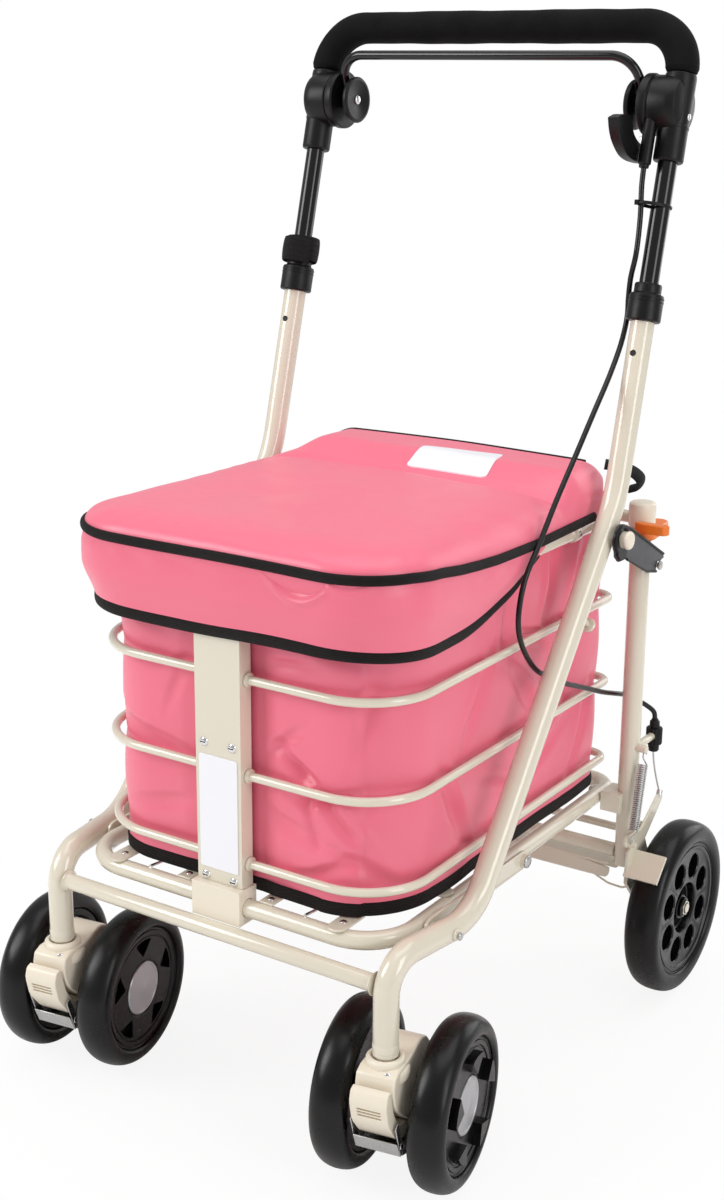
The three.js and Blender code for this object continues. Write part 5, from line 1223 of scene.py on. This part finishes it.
def wall_push(run, z):
    """How far the cloth stands out from its outline at a running length and a height.

    It swells between the wires, and each dent is a bell curve that is long in one
    direction and narrow in the other, laid at its own slope, with a low ridge beside it.
    """
    level = np.clip(np.searchsorted(WIRE_Z, z, side="right") - 1, 0, 3)
    t = np.clip((z - WIRE_Z[level]) / (WIRE_Z[level + 1] - WIRE_Z[level]), 0, 1)
    swelling = 2.9 * np.sin(np.pi * t) ** 0.8 * np.where(level == 0, 0.35, 1.0)
    total = swelling - 1.5 * np.clip((z - 470) / 30, 0, 1)
    x, y = np.interp(run, bag_run, bag_line[:, 0]), np.interp(run, bag_run, bag_line[:, 1])
    whole = bag_run[-1] + bag_run[1]
    for face, dents in DENTS.items():
        for place, height, slope, long, wide, depth in dents:
            across = (run - dent_home(face, place) + whole / 2) % whole - whole / 2
            s = math.radians(slope)
            u = across * math.cos(s) + (z - height) * math.sin(s)
            v = -across * math.sin(s) + (z - height) * math.cos(s)
            fade = np.exp(-((u / long) ** 2))
            ridge = 0.55 * np.exp(-(((v - 1.5 * wide) / (0.8 * wide)) ** 2))
            total = total - 2.0 * depth * fade * (np.exp(-((v / wide) ** 2)) - ridge)
    dice = np.random.default_rng(4)
    for _ in range(9):
        a, b = dice.uniform(0.01, 0.06), dice.uniform(-0.07, 0.07)
        total = total + 0.22 * np.sin(run * a + z * b + dice.uniform(0, 6.3))
    # The front is drawn flat behind the bracket, and the rear is drawn in behind the rear bracket.
    free = np.clip((np.abs(x) - 32) / 20, 0, 1)
    total = np.where(y < -190, np.minimum(total + 2.0, 4.0) * free, total)
    behind = np.where(y > 150, np.clip(1 - (np.abs(x) - 7) / 16, 0, 1), 0.0)
    return total - 14.5 * behind * behind * (3 - 2 * behind)


def tier(z0, z1, rows):
    """One tier's outer and inner skins in a single closed surface."""
    z = np.linspace(z0, z1, rows)
    push = wall_push(np.broadcast_to(bag_run[None], (rows, COUNT)),
                     np.broadcast_to(z[:, None], (rows, COUNT)))
    walls = bag_line[None] + bag_out[None] * push[..., None]
    outer = np.concatenate([walls, np.broadcast_to(z[:, None, None], (rows, COUNT, 1))], axis=2)
    inner = outer.copy()
    inner[..., :2] -= bag_out[None] * CLOTH
    return wrapped(np.concatenate([outer, inner[::-1]]), np.append(z, z[::-1]) * 0.001, bag_run * 0.001,
                   closed=True)


TIERS = (("top", 424.0, 500.0, "seat_support", 37), ("upper", 338.1, 423.9, "upper_wire_ring", 41),
         ("middle", 257.1, 338.0, "middle_wire_ring", 39), ("foot", 229.4, 257.0, "lower_wire_ring", 15))
for name, z0, z1, body, rows in TIERS:
    parts = [tier(z0, z1, rows)]
    if name == "foot":
        base = even_outline(BAG_HALF - 3, BAG_FRONT + 3, BAG_REAR - 18, 62, 120, rear=16)[0] + (BAG_SHIFT, 0)
        parts.append(plate(base, 229.5, 231.5, "xy"))
    made = piece(f"bag_{name}", parts, pink_cloth, body, ["bag"] if name == "top" else [],
                 angle=60)
    tuple(metres([0, 0, z1]))
    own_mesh(made)
cuff = [(155.6, 497.6), (165.6, 499.0), (165.6, 499.9), (155.6, 500.2)]
cuffs = [plate([(k * x, z) for x, z in cuff], -155, 150, "xz") for _, k in SIDES]
piece("bag_cuffs", cuffs, pink_cloth, "seat_support", edge=0.4)
hem_push = wall_push(bag_run, np.full(COUNT, 235.0))
hem = np.column_stack([bag_line + bag_out * (hem_push + 0.5)[:, None], 235.3 + 0.7 * np.sin(bag_run / 33.0)])
made = piece("bag_hem", [sweep(hem, 1.5, (0, 0, 1), 18, closed=True, high=6.1)], black_tape,
             "lower_wire_ring")
tuple(metres([0, 0, 257.0]))
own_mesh(made)

# %% [markdown]
# The lid is a padded seat. Its height is written as a function of place: a flat crown that
# falls to the edge over a rounding distance, a crease across it, and a second, higher pad
# behind. The rounding is the superellipse again, one minus a power, so the cloth leaves
# the piping steeply and levels out the way a stuffed cover does. The pad's left end is
# lower than its right end and climbs further in. A cushion blown up by a simulation would be
# rounder all over, and here the edge, the crease and the pad can be set one by one.

# %% Lid
LID_HALF, LID_FRONT, LID_REAR, LID_CORNER, LID_REAR_CORNER = 175.2, -226.5, 158.0, 70.0, 22.0
LID_MIDDLE, LID_FOOT, LID_COUNT = (LID_FRONT + LID_REAR) / 2, 513.9, 480


def smooth(t):
    """The S-shaped step from 0 to 1: three t squared minus two t cubed."""
    t = np.clip(t, 0, 1)
    return t * t * (3 - 2 * t)


def rounding(distance, reach, power=2.2):
    """How far the cloth has risen at a distance from the edge: 0 there, 1 beyond the reach."""
    return (1 - (1 - np.clip(distance / reach, 0, 1)) ** power) ** (1 / power)


def edge_height(y):
    """Height of the seam: high across the front, lower where the sides are pulled down."""
    return np.interp(y, [-226, -185, -150, -120, -90, -60, 20, 110, 158],
                     [531, 530, 526.6, 522, 519.3, 517.5, 516.8, 518, 519])


def lid_height(x, y):
    """Height of the cover's upper face."""
    corner = np.where(y > LID_MIDDLE, LID_REAR_CORNER, LID_CORNER)
    qx = np.abs(x) - (LID_HALF - corner)
    qy = np.abs(y - LID_MIDDLE) - ((LID_REAR - LID_FRONT) / 2 - corner)
    inside = corner - (np.hypot(np.maximum(qx, 0), np.maximum(qy, 0)) + np.minimum(np.maximum(qx, qy), 0))
    inside = np.maximum(inside, 0)
    low = edge_height(y)
    crown = 549.5 + 2.0 * np.cos(np.clip(x / 170, -1, 1) * np.pi / 2)
    crown = crown + 1.2 * np.sin(y / 60.0) * np.cos(x / 90.0)
    front = low + (crown - low) * rounding(inside, 58, 2.6)
    side_room = np.minimum(LID_HALF - np.abs(x), 200)
    pad_top = 565.5 + 1.2 * np.cos(x / 60.0)
    rear_edge = rounding(LID_REAR - y, 12, 2.0) ** 0.6
    right_end = (pad_top - low - 6) * rounding(side_room, 30, 2.3)
    left_end = 20 * rounding(side_room, 20, 2.2) + (pad_top - low - 26) * smooth((side_room - 12) / 52)
    side = smooth((x + 60) / 120)
    pad = low + 6 + (right_end * side + left_end * (1 - side)) * rear_edge
    bow = 2.0 * np.sin(x / 47.0)
    step = smooth((y - 62 + bow) / 42)
    crease = 5.0 * np.exp(-(((y - 63 + bow) / 5.5) ** 2)) * np.clip(side_room / 30, 0, 1)
    gather = np.sin(np.arctan2(y - LID_MIDDLE, x) * 34 + 5 * np.sin(x / 37 + y / 51))
    tucks = 0.45 * gather * np.exp(-(((inside - 13) / 9) ** 2))
    drape = 0.6 * np.sin(x / 23.0 + y / 41.0) * np.sin(y / 33.0 - x / 57.0) * np.clip(inside / 50, 0, 1)
    return front * (1 - step) + pad * step - crease + tucks * (1 - step) + drape


lid_line, lid_out, lid_run = even_outline(LID_HALF, LID_FRONT, LID_REAR, LID_CORNER, LID_COUNT,
                                          rear=LID_REAR_CORNER)
shares = 1 - np.linspace(0, 1, 74)[:-1] ** 1.5
centre = np.array([0.0, LID_MIDDLE])
cover_xy = centre + (lid_line[None] - centre) * shares[:, None, None]
cover = np.concatenate([cover_xy, lid_height(cover_xy[..., 0], cover_xy[..., 1])[..., None]], axis=2)
seam_rise = edge_height(lid_line[:, 1]) - LID_FOOT
wall = [np.column_stack([lid_line - lid_out * draw, LID_FOOT + seam_rise * drop])
        for drop, draw in ((0.0, 1.2), (0.55, -0.6), (1.0, 0.0))]
underside = np.column_stack([centre + (lid_line - centre) * 0.5, np.full(LID_COUNT, LID_FOOT)])
table = np.concatenate([underside[None], wall, cover[1:]])
lid_skin = wrapped(table, np.arange(len(table)) * 0.004, lid_run * 0.001)
cover_piece = piece("seat_cushion_cover", [lid_skin], pink_cloth, "seat_lid", ["seat_cushion"], angle=70)

# %% [markdown]
# A skirt hangs from the lid's seam round the front and tapers away along the sides. Black
# woven tape binds its foot, and a thicker black piping covers the seam above it. All three
# follow the same outline, from one side of the lid to the other, round the front. The
# cloth leaves the seam on the lid's own outline, passes a middle one and ends on a lower
# one with rounder corners. A roll under the seam, waves, gathers and two crescent folds
# push it out or in, and all of them fade where the skirt tapers away. A simulated cloth
# would hang well too, but as sums of simple terms its folds can be moved one at a time.

# %% Skirt and piping
SKIRT_ROWS, SKIRT_CLOTH = 40, 1.5
lower_line, lower_out, _ = even_outline(LID_HALF - 2.0, LID_FRONT + 1.5, LID_REAR, 76.0, LID_COUNT,
                                        LID_REAR_CORNER)
middle_line, _, _ = even_outline(LID_HALF - 0.4, LID_FRONT + 0.4, LID_REAR, 65.0, LID_COUNT, LID_REAR_CORNER)
ordered = np.flatnonzero(lid_line[:, 1] < 122)
ordered = ordered[np.argsort(np.arctan2(lid_line[ordered, 0], LID_MIDDLE + 20 - lid_line[ordered, 1]))]
seam_xy, seam_out = lid_line[ordered], lid_out[ordered]
seam_z = edge_height(seam_xy[:, 1])
seam_run = running(seam_xy)
piping = np.column_stack([seam_xy + seam_out * 0.9, seam_z + 0.4 + 0.5 * np.sin(seam_run / 37.0)])
piece("lid_piping", [sweep(piping, 2.7, (0, 0, 1), 20, high=4.4)], black_tape, "seat_lid")
hang_here = seam_xy[:, 1] < 24
xy, out, along = seam_xy[hang_here], seam_out[hang_here], seam_run[hang_here]
low_xy, low_out = lower_line[ordered][hang_here], lower_out[ordered][hang_here]
middle_xy = middle_line[ordered][hang_here]
top = seam_z[hang_here] - 1.0
hem_z = np.interp(low_xy[:, 1], [-226.5, -205, -165, -123, -89, -64.5, -39, -10, 14, 24],
                  [464.5, 462.5, 459.5, 459.2, 460.5, 468, 475.2, 484, 505, 516])
sag = 1.6 * np.sin(low_xy[:, 0] / 42.0) - 1.2 * np.cos(low_xy[:, 0] / 90.0)
hem_z = hem_z + np.where(low_xy[:, 1] < -200, sag, 0.0)
hem_z = np.convolve(np.pad(hem_z, 9, mode="edge"), np.ones(19) / 19, mode="valid")
foot = np.minimum(hem_z, top - 1.5)
t = np.linspace(0, 1, SKIRT_ROWS)[:, None]
s = along[None]
depth = (top - foot)[None]
ease = np.clip(depth / 50, 0, 1)
mix = smooth((t - 0.42) / 0.58)[..., None]
over = 1 - smooth(t / 0.2)[..., None]
line = xy[None] * over + middle_xy[None] * (1 - over) * (1 - mix) + low_xy[None] * mix
away = unit(out[None] * (1 - mix) + low_out[None] * mix)
belly = 2.0 * np.sin(np.pi * np.clip(t * 1.02, 0, 1) ** 0.75) * ease
draw = -2.6 * smooth((t - 0.45) / 0.55) * ease
# The ranges of a wave's height, its length, its slant down the cloth and its start.
WAVE_RANGES = ((0.25, 0.8), (9, 34), (-2.5, 2.5), (0, 6.3))
dice = np.random.default_rng(5)
waves = 0.0
for _ in range(7):
    size, length, slant, start = (dice.uniform(a, b) for a, b in WAVE_RANGES)
    waves = waves + size * np.sin(s / length + t * slant + start)
gathers = 0.8 * np.exp(-(((t - 0.13) / 0.1) ** 2)) * np.sin(s / 8.5 + 2 * np.sin(s / 31)) \
    * np.clip(np.sin(s / 61 + 0.6), 0, 1)
crescents = np.zeros((SKIRT_ROWS, len(along)))
for place, half, drop, size in ((84, 34, 0.30, 2.6), (131, 20, 0.1, 1.4)):
    u = (s - along.mean() - place) / half
    curve = 0.05 + drop * (1 - u * u)
    fold = size * np.exp(-(((t - curve) / 0.05) ** 2)) - 1.2 * size * np.clip((curve - t) / 0.1, 0, 1)
    crescents = crescents + np.where(np.abs(u) < 1, fold, 0) * np.clip(3 * (1 - np.abs(u)), 0, 1)
push = belly + draw + (1.1 * waves * t * (1.4 - t) + gathers + crescents) * ease
skin = np.concatenate([line + away * push[..., None], (top[None] * (1 - t) + foot[None] * t)[..., None]],
                      axis=2)
back = skin.copy()
back[..., :2] -= away * SKIRT_CLOTH
sheet_table = np.concatenate([skin, back[::-1]])
n_rows, n_cols = sheet_table.shape[:2]
end = np.arange(n_rows)[None] * n_cols
skirt_faces = [grid(n_rows, n_cols, True, False), end, end + n_cols - 1]
skirt_uv = [grid_uv(np.append(t[:, 0], t[::-1, 0]) * 0.07, along * 0.001, True, False)]
skirt_uv += [np.zeros((1, n_rows, 2))] * 2
skirt_sheet = (sheet_table.reshape(-1, 3), skirt_faces, skirt_uv)
skirt = piece("lid_skirt_cloth", [skirt_sheet], pink_cloth, "seat_lid", ["lid_skirt"], angle=60)
binding = np.column_stack([low_xy + low_out * (push[-1] - 0.4)[:, None], foot + 3.4])
skirt_hem = piece("skirt_binding", [sweep(binding, 2.0, (0, 0, 1), 18, high=6.0)], black_tape, "seat_lid")
# The tape hangs with the cloth on the lid.
REAR_SEAM_Y = 150.5
rear_x, rear_y = np.linspace(-128, 150, 71), np.full(71, REAR_SEAM_Y)
rear_edge = np.column_stack([rear_x, rear_y, lid_height(rear_x, rear_y) + 0.3])
piece("lid_rear_piping", [sweep(rear_edge, 2.2, (0, 0, 1), 16)], black_tape, "seat_lid")

# %% [markdown]
# The pale badge lies on the slope of the rear pad, so its points are laid on the same
# height function: a rounded square is mixed between the four corners of the badge. A
# short strap holds the lid at each rear corner, and a tongue stands out on the right.

# %% Badge and straps
square = even_outline(1.0, -1.0, 1.0, 0.16, 140, rear=0.16)[0]
flat = square[None] * np.linspace(1, 0.06, 16)[:, None, None]
bu, bv = (flat[..., 0] + 1) / 2, (flat[..., 1] + 1) / 2
bx = (1 + 87 * bu) * (1 - bv) + (-0.8 + 81.4 * bu) * bv
by = (70 + 0.5 * bu) * (1 - bv) + (107 + 11 * bu) * bv
bz = lid_height(bx, by)
upper = np.stack([bx, by, bz + 1.1], axis=2)
low_ring, edge_ring = (np.stack([bx[i], by[i], bz[i] - 0.5], axis=1)[None] for i in (-1, 0))
badge_table = np.concatenate([low_ring, edge_ring, upper])
badge = wrapped(badge_table, *(np.arange(size) * 0.003 for size in badge_table.shape[:2]))
piece("lid_badge", [badge], white_plate, "seat_lid", angle=50)
for side, k in SIDES:
    tail = through([(k * 150, 122, 519.5), (k * 160, 131, 520.5), (k * 166, 142, 522), (k * 168, 152, 526),
                    (k * 166, 158, 533)], 8)
    straps = [sweep(tail, 1.6, (0.1, 0, 1), 14, high=5.5)]
    if k > 0:
        tongue = through([(170, 152, 563), (184, 158, 561), (195, 163, 556.5), (201, 166, 550),
                          (199, 168, 543), (190, 167, 539)], 8)
        straps.append(sweep(tongue, 2.6, (0, 1, 0.3), 18, high=8.5))
    piece(f"lid_straps_{side}", straps, black_web, "seat_lid")
